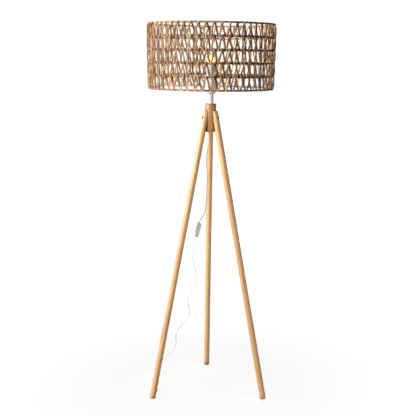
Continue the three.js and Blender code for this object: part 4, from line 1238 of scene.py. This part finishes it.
add("tie_tongue", tongue, "cord_sheath")


# Carried-over CAD nodes

kept_nodes = {
    "brass": [
        "hub_insert_back", "hub_insert_front_left", "hub_insert_front_right", "switch_contact",
        "lampholder_contact", "terminal_screw_left", "terminal_screw_right",
    ],
    "cord_sheath": ["lead_in_rod"],
    "carrier": ["lampholder_carrier"],
    "white_metal": ["bulb_board"],
}
for finish, nodes in kept_nodes.items():
    for node in nodes:
        for slot in frame["nodes"][node].material_slots:
            slot.material = finishes[finish]


# Stage: floor, backdrop, world and lights

def set_stage(name, mesh, material, unseen_by):
    """A piece of the stage, left out of the light of some rays."""
    mesh.materials.append(material)
    piece = put(name, mesh)
    for ray in unseen_by:
        setattr(piece, f"visible_{ray}", False)
    return piece


# The floor's own light rises from near the lamp to the backdrop's white
ground = Finish("floor", (0.92, 0.92, 0.92, 1), 0.8, Emission_Color=WHITE)
distance = ground.new("VectorMath", {0: ground.place()}, operation="LENGTH").outputs["Value"]
ground.set(Emission_Strength=ground.spread(distance, 0.78, 1.05, 0.4, 2.0))
floor_radius = 3.2
mesh = turned([(0.02, 0), *[(floor_radius * share, 0) for share in (0.25, 0.5, 1)]], 96)
floor = set_stage("floor", mesh, finishes["floor"], ["diffuse", "glossy"])
floor.location.z = -0.0002

white = bpy.data.materials.new("backdrop")
nodes = Nodes(white)
nodes.tree.nodes.clear()
emission = nodes.new("Emission", {"Strength": 1.05})
nodes.new("OutputMaterial", {0: emission.outputs[0]})
dome = bpy.data.meshes.new("backdrop")
with editing(dome) as work:
    bmesh.ops.create_uvsphere(work, u_segments=48, v_segments=24, radius=30)
rays = ["diffuse", "glossy", "transmission", "volume_scatter", "shadow"]
set_stage("backdrop", dome, white, rays)

# The world lights most from the left, and less from above and below
world = bpy.data.worlds.new("studio")
sky = Nodes(world)
direction = sky.new("SeparateXYZ", {0: sky.new("TexCoord").outputs["Generated"]})
slope = sky.new("Math", {0: direction.outputs["Z"]}, operation="ABSOLUTE").outputs[0]
level = sky.spread(slope, 0.56, 0.06, 0.1, 0.85, interpolation_type="SMOOTHSTEP")
side = sky.spread(direction.outputs["X"], 1.3, 0.5, -1, 1)
strength = sky.new("Math", {0: level, 1: side}, operation="MULTIPLY").outputs[0]
sky.fill(sky.tree.nodes["Background"], {"Strength": strength, "Color": WHITE})
scene.world = world


def soft_light(name, place, size, power, colour=(1, 1, 1), aim=(0, 0, 0.8), spread=180):
    lamp = put(name, bpy.data.lights.new(name, "AREA"), shape="SQUARE", size=size,
               energy=power, color=colour, spread=math.radians(spread))
    lamp.location = place
    lamp.rotation_euler = (Vector(aim) - Vector(place)).to_track_quat("-Z", "Y").to_euler()


# The bulb's light falls on the shade alone, with the softness of its dome
bulb = put("bulb_light", bpy.data.lights.new("bulb_light", "POINT"), energy=4.5,
           color=(1, 0.9, 0.8), shadow_soft_size=dome_radius)
bulb.location.z = board_top + source_height / 2
lit = bpy.data.collections.new("lit_by_bulb")
for piece in scene.collection.objects:
    if piece.name.startswith(("wound_cord", "hoop_")):
        lit.objects.link(piece)
bulb.light_linking.receiver_collection = lit
bulb.light_linking.blocker_collection = lit

soft_light("key", (-3.4, -1.5, 2.0), 1.4, 230, (1, 0.98, 0.95))
soft_light("rim", (-0.8, 1.8, 1.9), 1.2, 5)
soft_light("accent", (-1.5, -1.1, 1.5), 0.5, 1.0, (1, 0.98, 0.95), (0, 0, 1.36), 40)
soft_light("front", (0.4, -3.2, 1.0), 1.5, 4, aim=(0, 0, 0.9))
soft_light("low", (2.2, -1.4, 0.7), 1.2, 2.0, (1, 0.97, 0.93), (0, 0, 0.3), 50)

scene.view_settings.view_transform = "Standard"
scene.view_settings.look = "None"
